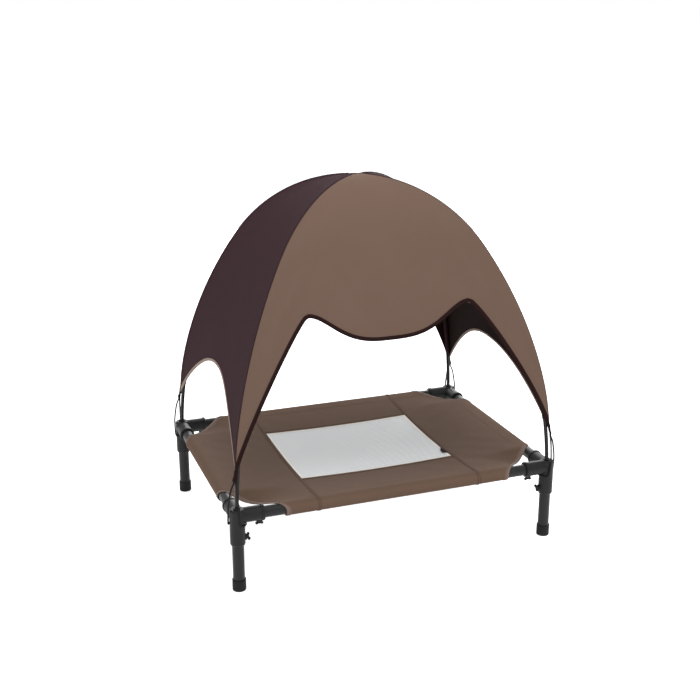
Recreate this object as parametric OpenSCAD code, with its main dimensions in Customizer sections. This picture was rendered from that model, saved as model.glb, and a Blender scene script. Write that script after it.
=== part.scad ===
// Raised dog cot with a dome canopy: tube frame, sewn sheet with a mesh panel, crossed poles and four gores.
// Millimetres, +Z up, +X along the cot, +Y from front to back, origin on the floor under the cot's centre.

/* [Cot frame] */
// Spacing of the leg axes along the cot
cot_l = 724; // [640:1:900]
// Spacing of the leg axes across the cot
cot_w = 524; // [460:1:640]
// Height of the rail axes above the floor
rail_h = 170; // [150:1:240]
// Outside diameter of the leg and rail tubes
tube_d = 25; // [22:0.5:28]
// Wall of the tubes
tube_wall = 1.2; // [0.8:0.1:2]

/* [Corner connectors] */
// Radial clearance of a tube in its socket
tube_fit = 0.2; // [0.1:0.05:0.4]
// Wall of the sockets
socket_wall = 3.3; // [2.5:0.1:5]
// Reach of the rail sockets from the leg axis
rail_socket_l = 57; // [52:1:75]
// Reach of the leg socket below the rail axis
leg_socket_l = 65; // [60:1:85]
// Distance of a rail's end from the leg axis
rail_stop = 18; // [16:0.5:22]
// Depth of a leg's top end below the rail axis
leg_stop = 22; // [18:0.5:26]
// Height of the raised lip round a socket's mouth
lip_rise = 1.4; // [0.8:0.1:2.5]
// Length of the raised lip
lip_l = 6; // [4:0.5:8]
// Chamfer of the leg socket's lower rim
rim_chamfer = 1.6; // [0.8:0.1:2]
// Rounding of the hub's top edge
hub_round = 4; // [2:0.5:6]
// Rise of the pole collar above the hub
collar_rise = 3; // [2:0.5:6]
// Wall of the pole collar
collar_wall = 2.6; // [2:0.2:4]
// Depth of the pole's seat below the rail axis
pole_seat = 12; // [6:1:14]
// Diameter of the pads under the screw heads
pad_d = 14; // [12:0.5:18]
// Rise of the pads above the socket's wall
pad_rise = 2; // [1:0.5:4]

/* [Foot caps] */
// Height of a foot cap
cap_h = 25; // [18:1:40]
// Wall of a foot cap
cap_wall = 1.9; // [1.5:0.1:3]
// Floor of a foot cap under its tube
cap_floor = 4; // [2.5:0.5:8]
// Radial clearance of the tube in its cap
cap_fit = 0.1; // [0.05:0.05:0.3]
// Rounding of the cap's lower edge
cap_round = 2; // [1:0.5:3]

/* [Wing screws] */
// Diameter of the screw's shank
screw_d = 6; // [5:0.5:8]
// Radial running clearance of the shank in its hole
screw_fit = 0.05; // [0.02:0.01:0.1]
// Clearance of the shank in the tube's own hole
screw_hole_gap = 0.4; // [0.2:0.1:1]
// Gap between a screw's head and its pad
head_gap = 0.3; // [0.2:0.1:0.6]
// Reach of the shank past the tube's wall
screw_reach = 4; // [2:0.5:8]
// Distance of a rail's screw from the leg axis
rail_screw_at = 47; // [44:1:50]
// Depth of a leg's screw below the rail axis
leg_screw_drop = 50; // [42:1:54]
// Diameter of the screw's hub
head_d = 10; // [8:0.5:12]
// Height of the screw's hub
head_h = 5; // [4:0.5:8]
// Span over both wings
wing_span = 17; // [15:0.5:24]
// Thickness of the wings
wing_t = 2.8; // [2:0.2:4]
// Diameter of a wing's round end
wing_end_d = 6; // [5:0.5:8]
// Turn of the leg screws' wings when tight
leg_wing_turn = 40; // [0:5:90]

/* [Sheet] */
// Thickness of the cloth
cloth_t = 1; // [0.6:0.1:1.5]
// Clearance of a sleeve round its rail
sleeve_gap = 0.3; // [0.2:0.1:1]
// Distance of the long rails' sleeves from the leg axis
long_sleeve_end = 103; // [85:1:125]
// Distance of the short rails' sleeves from the leg axis
short_sleeve_end = 92; // [80:1:125]
// Depth of the hollow in each cut corner
corner_hollow = 2; // [1:1:24]
// Distance of a sleeve's stitched end from the rail's axis
flap_l = 28; // [24:1:40]
// Length of the mesh panel
mesh_l = 364; // [300:1:420]
// Width of the mesh panel
mesh_w = 278; // [220:1:320]
// Sag of the sheet in the middle
sheet_sag = 20; // [4:1:24]
// Reach of the small seam tab over the mesh
tab_l = 10; // [8:1:16]
// Length of the small seam tab along the seam
tab_w = 34; // [24:1:40]
// Distance of the seam tab from the mesh's front edge
tab_at = 20; // [4:1:60]

/* [Poles] */
// Diameter of the canopy's poles
pole_d = 8.5; // [7:0.5:9.5]
// Radial clearance of a pole in its collar
pole_fit = 0.6; // [0.55:0.05:0.8]
// Thickness of the cap on a pole's foot
pole_tip_t = 0.35; // [0.2:0.05:0.4]
// Height of the pole arch above its springing line
arch_h = 626; // [560:1:700]
// Height of the springing line above the rail axis
spring_rise = 12; // [4:1:18]
// Radius of the arch's crown
crown_r = 345; // [300:1:370]
// Inward lean of the poles at the springing line, in degrees
pole_lean = 2; // [0.5:0.25:3]
// Gap between the poles where they cross
cross_gap = 0.4; // [0.3:0.1:1]
// Length of the ferrule on each rod's end
ferrule_l = 32; // [20:1:50]
// Wall of a ferrule
ferrule_wall = 0.5; // [0.4:0.05:0.6]
// Radial clearance of a pole in its ferrule
ferrule_fit = 0.05; // [0.02:0.01:0.1]
// Radial clearance of a sleeve round the ferrules
pole_sleeve_gap = 0.2; // [0.1:0.05:0.3]
// Thickness of the pole sleeves
pole_sleeve_t = 0.4; // [0.3:0.05:0.5]
// Height of the pole sleeves' mouths above the springing line
sleeve_mouth = 104; // [98:1:160]
// Distance of the pole sleeves' upper ends from the crossing
sleeve_stop = 70; // [40:1:120]

/* [Canopy] */
// Distance from the poles' axes to the cloth's outer face
canopy_out = 8.8; // [8.4:0.1:12]
// Inward draw of the front and back gores at their edges
front_draw = 20; // [0:1:22]
// Inward draw of the side gores at their edges
side_draw = 7; // [0:1:12]
// Height of the valance's middle above the springing line
valance_dip = 316; // [290:1:340]
// Height of the valance's two peaks above the springing line
valance_peak = 376; // [350:1:400]
// Distance of each peak from the middle, measured at the peak
peak_x = 179; // [140:1:200]
// Height of the canopy's four tips above the springing line
tip_rise = 78; // [70:1:90]
// Height of the side arches above the springing line
side_arch = 228; // [200:1:280]
// Width of the front and back bindings
front_binding = 10; // [7:0.5:14]
// Width of the side bindings
side_binding = 6; // [5:0.5:10]
// Thickness of the binding tape
binding_t = 0.8; // [0.5:0.1:1]
// Gap between the gores and their bindings, and along the ridges
seam_gap = 0.2; // [0.1:0.05:0.3]

/* [Tips and loops] */
// Width of a tip tab
tip_tab_w = 9; // [8:0.5:16]
// Height of a tip tab
tip_tab_h = 12; // [10:0.5:20]
// Thickness of a tip tab
tip_tab_t = 2.5; // [2:0.1:3]
// Gap between a tip tab and the bindings above it
tip_tab_gap = 0.3; // [0.2:0.1:0.6]
// Diameter of the elastic cord
loop_d = 3; // [2:0.5:4]
// Gap between the elastic cord and the connector
loop_gap = 0.7; // [0.5:0.1:1]

/* [Hidden] */
$fn = 48;
tube_r = tube_d / 2;
bore_r = tube_r + tube_fit;
socket_r = bore_r + socket_wall;
pad_face = socket_r + pad_rise;
hub_top = rail_h + socket_r;
collar_top = hub_top + collar_rise;
leg_top = rail_h - leg_stop;
leg_socket_end = rail_h - leg_socket_l;
pole_r = pole_d / 2;
pole_hole_r = pole_r + pole_fit;
pole_foot = rail_h - pole_seat;
spring_z = rail_h + spring_rise;
span = norm([cot_l, cot_w]) / 2;
screw_r = screw_d / 2;
rail_screw_top = tube_r - tube_wall - screw_reach;
cap_r = tube_r + cap_fit + cap_wall;
sleeve_in = tube_r + sleeve_gap;
sleeve_out = sleeve_in + cloth_t;
ferrule_in = pole_r + ferrule_fit;
ferrule_out = ferrule_in + ferrule_wall;
pole_sleeve_in = ferrule_out + pole_sleeve_gap;
pole_sleeve_out = pole_sleeve_in + pole_sleeve_t;
tip_z = spring_z + tip_rise;
tip_tab_top = tip_z - tip_tab_gap;
tip_tab_low = tip_tab_top - tip_tab_h;
tip_tab_out = pole_r + 0.3 * tip_tab_t;
loop_r = loop_d / 2;
overlap = 1;

// Sheet grid: steps round a rail, across a corner, along a panel
wrap_steps = 9;
wrap_turn = 222;
corner_steps = 4;
panel_steps = 6;
side_steps = 3;

// Gore grid: columns across a gore, rows up the arch's side and over its crown
front_cols = 22;
side_cols = 12;
side_rows = 8;
crown_rows = 6;
gore_rows = side_rows + crown_rows;

// Corners: name and signs of X and Y
CORNERS = [
    ["front_left", -1, -1],
    ["front_right", 1, -1],
    ["back_left", -1, 1],
    ["back_right", 1, 1],
];

// Poles: name, sign of X at the front end, drop of the crown below the upper pole's
POLES = [
    ["a", -1, 0],
    ["b", 1, pole_d + cross_gap],
];

tube_colour = [0.2, 0.2, 0.2];
plastic_colour = [0.16, 0.16, 0.16];
cloth_colour = [0.43, 0.35, 0.31];
mesh_colour = [0.78, 0.78, 0.77];
light_colour = [0.5, 0.41, 0.36];
dark_colour = [0.26, 0.19, 0.2];
piping_colour = [0.62, 0.56, 0.52];

// Carries a corner's shape, drawn at the front left with +X and +Y inward, to its own corner
module at_corner(c) {
    translate([c[1] * cot_l / 2, c[2] * cot_w / 2, 0])
        mirror([c[1] > 0 ? 1 : 0, 0, 0])
            mirror([0, c[2] > 0 ? 1 : 0, 0])
                children();
}

// Turns a shape drawn along +Z to lie along +X or +Y
module along_x() {
    rotate([0, 90, 0]) children();
}
module along_y() {
    rotate([-90, 0, 0]) children();
}

// A tube along +Z between two heights
module tube(low, high) {
    difference() {
        translate([0, 0, low]) cylinder(r = tube_r, h = high - low);
        translate([0, 0, low - overlap])
            cylinder(r = tube_r - tube_wall, h = high - low + 2 * overlap);
    }
}

// The drill for a screw's hole in a tube, along +X from the tube's axis
module tube_drill() {
    along_x() cylinder(r = screw_r + screw_hole_gap, h = tube_d);
}

module leg() {
    color(tube_colour)
        difference() {
            tube(cap_floor, leg_top);
            translate([0, 0, rail_h - leg_screw_drop]) tube_drill();
        }
}

// A rail along +Z with its screw holes facing +X, between two legs this far apart
module rail(spacing) {
    reach = spacing / 2 - rail_stop;
    color(tube_colour)
        difference() {
            tube(-reach, reach);
            for (end = [-1, 1])
                translate([0, 0, end * (spacing / 2 - rail_screw_at)]) tube_drill();
        }
}

module long_rail(side) {
    translate([0, side * cot_w / 2, rail_h]) along_x() rail(cot_l);
}

module short_rail(side) {
    translate([side * cot_l / 2, 0, rail_h]) along_y() rotate([0, 0, 90]) rail(cot_w);
}

// A cap with a rounded lower edge, an inner floor and a softened mouth
module foot_cap() {
    color(plastic_colour)
        rotate_extrude()
            difference() {
                union() {
                    translate([0, cap_round]) square([cap_r, cap_h - cap_round]);
                    square([cap_r - cap_round, cap_h]);
                    translate([cap_r - cap_round, cap_round]) intersection() {
                        circle(r = cap_round);
                        translate([0, -cap_round]) square(cap_round * 2);
                    }
                }
                translate([0, cap_floor]) square([tube_r + cap_fit, cap_h]);
            }
}

// Half outline of a rail socket, from the hub's middle to the lipped mouth
module rail_socket_outline() {
    square([socket_r, rail_socket_l]);
    translate([0, rail_socket_l - lip_l]) square([socket_r + lip_rise, lip_l - lip_rise]);
    polygon([
        [0, rail_socket_l - lip_rise - overlap],
        [socket_r + lip_rise, rail_socket_l - lip_rise - overlap],
        [socket_r + lip_rise, rail_socket_l - lip_rise],
        [socket_r, rail_socket_l],
        [0, rail_socket_l],
    ]);
}

// Half outline of the upright body: chamfered leg socket, rounded hub top and pole collar
module upright_outline() {
    collar_r = pole_hole_r + collar_wall;
    polygon([
        [0, leg_socket_end],
        [socket_r - rim_chamfer, leg_socket_end],
        [socket_r, leg_socket_end + 2 * rim_chamfer],
        [socket_r, hub_top - hub_round],
        [0, hub_top - hub_round],
    ]);
    translate([0, hub_top - hub_round - overlap])
        square([socket_r - hub_round, hub_round + overlap]);
    translate([socket_r - hub_round, hub_top - hub_round]) intersection() {
        circle(r = hub_round);
        square(hub_round);
    }
    translate([0, hub_top - overlap]) square([collar_r, collar_rise + overlap]);
}

// A pad for a screw's head, along +X from the socket's axis
module screw_pad() {
    along_x() cylinder(d = pad_d, h = pad_face);
}

module screw_bore() {
    along_x() cylinder(r = screw_r + screw_fit, h = pad_face + overlap);
}

// Places a screw, its pad or its bore, drawn along +X, at the three sockets of a corner
module at_leg_screw() {
    translate([0, 0, rail_h - leg_screw_drop]) children();
}
module at_long_screw() {
    translate([rail_screw_at, 0, rail_h]) rotate([0, 90, 0]) children();
}
module at_short_screw() {
    translate([0, rail_screw_at, rail_h]) rotate([0, 90, 0]) rotate([90, 0, 0]) children();
}

module connector() {
    color(plastic_colour)
        difference() {
            union() {
                rotate_extrude() upright_outline();
                translate([0, 0, rail_h]) along_x() rotate_extrude() rail_socket_outline();
                translate([0, 0, rail_h]) along_y() rotate_extrude() rail_socket_outline();
                at_leg_screw() screw_pad();
                at_long_screw() screw_pad();
                at_short_screw() screw_pad();
            }
            translate([0, 0, leg_socket_end - overlap])
                cylinder(r = bore_r, h = leg_top - leg_socket_end + overlap);
            translate([rail_stop, 0, rail_h]) along_x() cylinder(r = bore_r, h = rail_socket_l);
            translate([0, rail_stop, rail_h]) along_y() cylinder(r = bore_r, h = rail_socket_l);
            translate([0, 0, pole_foot]) cylinder(r = pole_hole_r, h = collar_top - pole_foot + overlap);
            at_leg_screw() screw_bore();
            at_long_screw() screw_bore();
            at_short_screw() screw_bore();
        }
}

// Outline of both wings, with +X along the screw's axis and Y across it
module wing_outline() {
    end_y = (wing_span - wing_end_d) / 2;
    end_x = head_h;
    for (side = [-1, 1]) {
        translate([end_x, side * end_y]) circle(d = wing_end_d);
        polygon([
            [0.5, 0],
            [0.5, side * head_d / 4],
            [end_x - wing_end_d / 2, side * end_y],
            [end_x + wing_end_d / 2, side * end_y],
            [head_h, 0],
        ]);
    }
}

// A wing screw with its shank on the X axis, its tip towards the tube and its head outside the pad
module wing_screw() {
    head_face = pad_face + head_gap;
    color(plastic_colour) {
        translate([rail_screw_top, 0, 0])
            along_x() cylinder(r = screw_r, h = head_face - rail_screw_top + overlap);
        translate([head_face, 0, 0]) {
            along_x() cylinder(d = head_d, h = head_h);
            translate([0, 0, -wing_t / 2]) linear_extrude(wing_t) wing_outline();
        }
    }
}

// Triangles of a cloth of rows and columns: outer face, inner face and rim, for the cells that are kept
function cell_kept(kept, i, j) = i >= 0 && j >= 0 && i < len(kept) && j < len(kept[0]) && kept[i][j];
function cloth_faces(kept) =
    let (rows = len(kept), cols = len(kept[0]), wide = cols + 1, back = (rows + 1) * wide)
    [
        for (i = [0 : rows - 1], j = [0 : cols - 1])
            if (kept[i][j])
                let (
                    a = i * wide + j,
                    b = a + 1,
                    c = a + wide,
                    d = c + 1
                )
                each concat(
                    [[a, b, d], [a, d, c]],
                    [[back + a, back + d, back + b], [back + a, back + c, back + d]],
                    cell_kept(kept, i - 1, j) ? [] : [[a, back + b, b], [a, back + a, back + b]],
                    cell_kept(kept, i + 1, j) ? [] : [[c, d, back + d], [c, back + d, back + c]],
                    cell_kept(kept, i, j - 1) ? [] : [[a, c, back + c], [a, back + c, back + a]],
                    cell_kept(kept, i, j + 1) ? [] : [[b, back + d, d], [b, back + b, back + d]]
                )
    ];

// A cloth solid from rows of [outer point, inner point] pairs
module cloth(pairs, kept) {
    polyhedron(
        points = concat([for (row = pairs, p = row) p[0]], [for (row = pairs, p = row) p[1]]),
        faces = cloth_faces(kept)
    );
}

function all_cells(rows, cols) = [for (i = [1 : rows]) [for (j = [1 : cols]) true]];

// Height of the sheet's upper face: level along the rails, sagging in the middle
function sheet_z(x, y) =
    rail_h + sleeve_out - sheet_sag * (1 - pow(2 * x / cot_l, 2)) * (1 - pow(2 * y / cot_w, 2));
function sheet_pair(x, y) = [[x, y, sheet_z(x, y)], [x, y, sheet_z(x, y) - cloth_t]];

// Station k round a rail: [outward, up] from the rail's axis on a face of this radius, from its top downward
function wrap_point(k, r) = let (a = 90 - wrap_turn * k / wrap_steps) [r * cos(a), r * sin(a)];

// Pair round the front rail at x, where the last station is the flap stitched under the sheet
function front_wrap(x, k) =
    let (
        flap_y = flap_l - cot_w / 2,
        flap_z = sheet_z(x, flap_y) - cloth_t - sleeve_gap,
        o = wrap_point(k, sleeve_out),
        i = wrap_point(k, sleeve_in)
    )
    k > wrap_steps
        ? [[x, flap_y, flap_z - cloth_t], [x, flap_y, flap_z]]
        : [[x, -cot_w / 2 - o[0], rail_h + o[1]], [x, -cot_w / 2 - i[0], rail_h + i[1]]];

// The same round the left rail at y
function left_wrap(y, k) =
    let (
        flap_x = flap_l - cot_l / 2,
        flap_z = sheet_z(flap_x, y) - cloth_t - sleeve_gap,
        o = wrap_point(k, sleeve_out),
        i = wrap_point(k, sleeve_in)
    )
    k > wrap_steps
        ? [[flap_x, y, flap_z - cloth_t], [flap_x, y, flap_z]]
        : [[-cot_l / 2 - o[0], y, rail_h + o[1]], [-cot_l / 2 - i[0], y, rail_h + i[1]]];

// Front strip: from the mesh's edge over the front rail and back under the sheet
module sheet_front() {
    xs = [for (j = [0 : panel_steps]) mesh_l * (j / panel_steps - 0.5)];
    run = (cot_w - mesh_w) / 2;
    pairs = concat(
        [for (k = [wrap_steps + 1 : -1 : 1]) [for (x = xs) front_wrap(x, k)]],
        [for (i = [0 : side_steps]) [for (x = xs) sheet_pair(x, run * i / side_steps - cot_w / 2)]]
    );
    color(cloth_colour) cloth(pairs, all_cells(wrap_steps + 1 + side_steps, panel_steps));
}

// Point of the cut front left corner, from the front rail at 0 to the left rail at 1
function corner_point(f) =
    let (
        start = [long_sleeve_end - cot_l / 2, -cot_w / 2],
        finish = [-cot_l / 2, short_sleeve_end - cot_w / 2],
        along = finish - start,
        inward = [-along[1], along[0]] / norm(along)
    )
    start + along * f - inward * corner_hollow * 4 * f * (1 - f);

function mirror_y(pair) = [for (p = pair) [p[0], -p[1], p[2]]];

// Row of the left panel from the seam outward, at fraction f of the front corner
function corner_row(f) =
    let (finish = corner_point(f), start = [-mesh_l / 2, short_sleeve_end * f - cot_w / 2])
    [
        for (j = [0 : side_steps])
            let (p = start + (finish - start) * j / side_steps)
            sheet_pair(p[0], p[1])
    ];

// Row of the left panel at y, from the seam over the left rail and back under the sheet
function side_row(y) = concat(
    [for (j = [0 : side_steps]) sheet_pair(-mesh_l / 2 - (cot_l - mesh_l) / 2 * j / side_steps, y)],
    [for (k = [1 : wrap_steps + 1]) left_wrap(y, k)]
);

// Row of the left panel round the front rail
function front_row(k) =
    let (start = -mesh_l / 2, finish = long_sleeve_end - cot_l / 2)
    [for (j = [0 : side_steps]) front_wrap(start + (finish - start) * j / side_steps, k)];

// A short row filled up to the full count of columns with its last pair, which no kept cell uses
function padded_row(row) = concat(row, [for (k = [1 : wrap_steps + 1]) row[len(row) - 1]]);

// Left panel: seam to left rail, with a sleeve on three rails and two hollowed corners
module sheet_left() {
    half = cot_w / 2 - short_sleeve_end;
    front = concat(
        [for (k = [wrap_steps + 1 : -1 : 1]) padded_row(front_row(k))],
        [for (i = [0 : corner_steps - 1]) padded_row(corner_row(i / corner_steps))]
    );
    middle = [for (i = [0 : panel_steps]) side_row(half * (2 * i / panel_steps - 1))];
    back = [for (i = [len(front) - 1 : -1 : 0]) [for (pair = front[i]) mirror_y(pair)]];
    rows = len(front) * 2 + panel_steps;
    kept = [
        for (i = [0 : rows - 1])
            [
                for (j = [0 : side_steps + wrap_steps])
                    j < side_steps || (i >= len(front) && i < len(front) + panel_steps)
            ]
    ];
    color(cloth_colour) mirror([0, 1, 0]) cloth(concat(front, middle, back), kept);
}

module mesh_panel() {
    pairs = [
        for (i = [0 : panel_steps])
            [
                for (j = [0 : panel_steps])
                    sheet_pair(mesh_l * (j / panel_steps - 0.5), mesh_w * (i / panel_steps - 0.5))
            ]
    ];
    color(mesh_colour) cloth(pairs, all_cells(panel_steps, panel_steps));
}

// The small tab sewn on the mesh beside the right seam, with slanted ends: [place along it, reach] shares
tab_outline = [[0, 0.2], [0.2, 1], [0.5, 1], [1, 0.2]];
module seam_tab() {
    lift = [0, 0, sleeve_gap];
    pairs = [
        for (f = tab_outline)
            let (y = tab_at + f[0] * tab_w - mesh_w / 2)
            [
                for (x = [mesh_l / 2 - f[1] * tab_l, mesh_l / 2])
                    let (p = sheet_pair(x, y)) [p[0] + lift + [0, 0, cloth_t], p[0] + lift]
            ]
    ];
    color(cloth_colour) cloth(pairs, all_cells(len(tab_outline) - 1, 1));
}

// Three-centred arch of half span `span` and height h: turn and radius of its sides, then the crown's arc
function side_r(h) =
    let (rise = h - crown_r)
    (span * span + rise * rise - crown_r * crown_r)
        / (2 * (span * cos(pole_lean) - crown_r - rise * sin(pole_lean)));
function arch_turn(h) =
    atan2(h - crown_r + side_r(h) * sin(pole_lean), side_r(h) * cos(pole_lean) - span);
function side_l(h) = side_r(h) * (arch_turn(h) - pole_lean) * PI / 180;
function arch_l(h) = side_l(h) + crown_r * (90 - arch_turn(h)) * PI / 180;

// Point of the arch this far along it from the springing line: [out, up, turn]
function arch_at(h, d) =
    let (r = side_r(h), first = side_l(h))
    d < first
        ? let (a = pole_lean + d / r * 180 / PI)
            [span - r * (cos(pole_lean) - cos(a)), r * (sin(a) - sin(pole_lean)), a]
        : let (a = arch_turn(h) + (d - first) / crown_r * 180 / PI)
            [crown_r * cos(a), h - crown_r + crown_r * sin(a), a];

// Distance along the arch to a height on its side
function arch_reach(h, z) = side_r(h) * (asin(z / side_r(h) + sin(pole_lean)) - pole_lean) * PI / 180;

// Stands a pole's own frame, with the front end on +X, along its diagonal
module on_diagonal(pole) {
    translate([0, 0, spring_z])
        rotate([0, 0, atan2(-cot_w, pole[1] * cot_l)])
            children();
}

// Part of a pole's line, on the front half, between two turns of the arch
module side_arc(h, from, to) {
    translate([span - side_r(h) * cos(pole_lean), 0, -side_r(h) * sin(pole_lean)])
        rotate([0, -from, 0])
            rotate([90, 0, 0])
                rotate_extrude(angle = to - from) translate([side_r(h), 0]) children();
}
module crown_arc(h, from, to) {
    translate([0, 0, h - crown_r])
        rotate([0, -from, 0])
            rotate([90, 0, 0])
                rotate_extrude(angle = to - from) translate([crown_r, 0]) children();
}

// A pole's lower rod: upright in its seat, then along the side of the arch
module pole_side(pole) {
    h = arch_h - pole[2];
    color(plastic_colour) {
        translate([span, 0, pole_foot - spring_z])
            cylinder(r = pole_r + pole_tip_t, h = spring_z - pole_foot + 1.5);
        side_arc(h, pole_lean, arch_turn(h)) circle(r = pole_r);
    }
}
module pole_front(pole) {
    on_diagonal(pole) pole_side(pole);
}
module pole_back(pole) {
    on_diagonal(pole) mirror([1, 0, 0]) pole_side(pole);
}
module pole_crown(pole) {
    h = arch_h - pole[2];
    turn = arch_turn(h);
    color(plastic_colour) on_diagonal(pole) crown_arc(h, turn, 180 - turn) circle(r = pole_r);
}

module ring(inner, outer) {
    difference() {
        circle(r = outer);
        circle(r = inner);
    }
}

// A metal ferrule on each rod's end, so that two meet at each joint of a pole
module ferrules(pole) {
    h = arch_h - pole[2];
    turn = arch_turn(h);
    side_part = ferrule_l / side_r(h) * 180 / PI;
    crown_part = ferrule_l / crown_r * 180 / PI;
    gap = ferrule_fit / crown_r * 180 / PI;
    color("silver")
        on_diagonal(pole)
            for (end = [0, 1])
                mirror([end, 0, 0]) {
                    side_arc(h, turn - side_part, turn) ring(ferrule_in, ferrule_out);
                    crown_arc(h, turn + gap, turn + crown_part) ring(ferrule_in, ferrule_out);
                }
}

// Four cloth sleeves along a pole, parted at the joints and open near the crossing
module pole_sleeves(pole) {
    h = arch_h - pole[2];
    turn = arch_turn(h);
    first = asin(sleeve_mouth / side_r(h) + sin(pole_lean));
    last = acos(sleeve_stop / crown_r);
    gap = seam_gap / crown_r * 180 / PI;
    color(dark_colour)
        on_diagonal(pole)
            for (end = [0, 1])
                mirror([end, 0, 0]) {
                    side_arc(h, first, turn) ring(pole_sleeve_in, pole_sleeve_out);
                    crown_arc(h, turn + gap, last) ring(pole_sleeve_in, pole_sleeve_out);
                }
}

// Inward draw of a gore's cloth, most in the middle of its edge, none at its ridges and the apex
function gore_draw(most, u, d, low) =
    most * (1 - u * u) * cos(90 * (d - low) / (arch_l(arch_h) - low)) * cos(arch_at(arch_h, d)[2]);

// Front gore's point: u across it from ridge to ridge, d along the arch, offset off from the poles' axes
function front_point(u, d, off) =
    let (
        p = arch_at(arch_h, d),
        s = p[0] / span,
        draw = gore_draw(front_draw, u, d, arch_reach(arch_h, front_edge(u))),
        half = max(0, (cot_l / 2 + off) * s - seam_gap)
    )
    [
        u * half,
        draw * cos(p[2]) - max(seam_gap, (cot_w / 2 + off) * s),
        spring_z + p[1] * (1 + off / arch_h) - draw * sin(p[2]),
    ];

// Left gore's point, with u across it from back to front
function side_point(u, d, off) =
    let (
        p = arch_at(arch_h, d),
        s = p[0] / span,
        draw = gore_draw(side_draw, u, d, arch_reach(arch_h, side_edge(u))),
        half = max(0, (cot_w / 2 + off) * s - seam_gap)
    )
    [
        draw * cos(p[2]) - max(seam_gap, (cot_l / 2 + off) * s),
        -u * half,
        spring_z + p[1] * (1 + off / arch_h) - draw * sin(p[2]),
    ];

function ease(t) = t * t * (3 - 2 * t);

// Height of the valance above the springing line: a dip between two peaks, then down to the tips
function arch_share(z) = arch_at(arch_h, arch_reach(arch_h, z))[0] / span;
function peak_u() = peak_x / (cot_l / 2 * arch_share(valance_peak));
function front_edge(u) =
    let (v = abs(u), top = peak_u())
    v < top
        ? valance_dip + (valance_peak - valance_dip) * ease(pow(v / top, 1.55))
        : valance_peak - (valance_peak - tip_rise) * pow((v - top) / (1 - top), 1.3);

// Height of a side's arched edge above the springing line
function side_edge(u) = side_arch - (side_arch - tip_rise) * u * u;

function edge_height(side, u) = side == "front" ? front_edge(u) : side_edge(u);
function gore_point(side, u, d, off) = side == "front" ? front_point(u, d, off) : side_point(u, d, off);
function gore_cols(side) = side == "front" ? front_cols : side_cols;
function binding_w(side) = side == "front" ? front_binding : side_binding;
function gore_u(side, j) = 2 * j / gore_cols(side) - 1;

// Place along the arch of a gore's row: its edge, its binding's top, then spread over the side and the crown
function row_place(low, top, i) =
    let (crown = side_l(arch_h))
    i == 0 ? low : i < side_rows
        ? top + (crown - top) * (i - 1) / (side_rows - 1)
        : crown + (arch_l(arch_h) - crown) * (i - side_rows) / crown_rows;

// A gore's rows from just inside its binding up to a last row near the apex, then one apex point
module gore(side) {
    cols = gore_cols(side);
    wide = cols + 1;
    count = wide * gore_rows;
    points = [
        for (off = [canopy_out, canopy_out - cloth_t])
            each concat(
                [
                    for (i = [0 : gore_rows - 1], j = [0 : cols])
                        let (
                            u = gore_u(side, j),
                            edge = edge_height(side, u),
                            low = arch_reach(arch_h, edge + binding_t + seam_gap),
                            top = arch_reach(arch_h, edge + binding_w(side) + seam_gap)
                        )
                        gore_point(side, u, row_place(low, top, i), off)
                ],
                [gore_point(side, 0, arch_l(arch_h), off)]
            )
    ];
    back = count + 1;
    last = count - wide;
    faces = concat(
        [
            for (i = [0 : gore_rows - 2], j = [0 : cols - 1])
                let (a = i * wide + j, b = a + 1, c = a + wide, d = c + 1)
                each [
                    [a, c, d], [a, d, b],
                    [back + a, back + d, back + c], [back + a, back + b, back + d],
                ]
        ],
        [for (j = [0 : cols - 1]) [last + j, count, last + j + 1]],
        [for (j = [0 : cols - 1]) [back + last + j, back + last + j + 1, back + count]],
        [for (j = [0 : cols - 1]) each [[j, j + 1, back + j + 1], [j, back + j + 1, back + j]]],
        [
            for (i = [0 : gore_rows - 2])
                let (a = i * wide, c = a + wide, b = a + cols, d = c + cols)
                each [
                    [a, back + c, c], [a, back + a, back + c],
                    [b, d, back + d], [b, back + d, back + b],
                ]
        ],
        [[last, back + count, count], [last, back + last, back + count]],
        [[last + cols, count, back + count], [last + cols, back + count, back + last + cols]]
    );
    polyhedron(points = points, faces = faces);
}

// The tape folded round a gore's edge: a U of eight points swept along the edge
module binding(side) {
    width = binding_w(side);
    cols = gore_cols(side);
    out = canopy_out + seam_gap;
    inn = canopy_out - cloth_t - seam_gap;
    section = [
        [out + binding_t, 0], [out + binding_t, width], [out, width], [out, binding_t],
        [inn, binding_t], [inn, width], [inn - binding_t, width], [inn - binding_t, 0],
    ];
    n = len(section);
    points = [
        for (j = [0 : cols], p = section)
            let (u = gore_u(side, j))
            gore_point(side, u, arch_reach(arch_h, edge_height(side, u) + p[1]), p[0])
    ];
    end = cols * n;
    caps = [[0, 1, 2], [0, 2, 3], [0, 3, 4], [0, 4, 7], [4, 5, 6], [4, 6, 7]];
    faces = concat(
        [
            for (j = [0 : cols - 1], k = [0 : n - 1])
                let (a = j * n + k, b = j * n + (k + 1) % n)
                each [[a, a + n, b + n], [a, b + n, b]]
        ],
        [for (c = caps) [c[0], c[1], c[2]]],
        [for (c = caps) [end + c[2], end + c[1], end + c[0]]]
    );
    polyhedron(points = points, faces = faces);
}

module gore_front() {
    color(light_colour) gore("front");
}
module gore_left() {
    color(dark_colour) gore("left");
}
module binding_front() {
    color(dark_colour) binding("front");
}
module binding_left() {
    color(piping_colour) binding("left");
}

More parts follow.
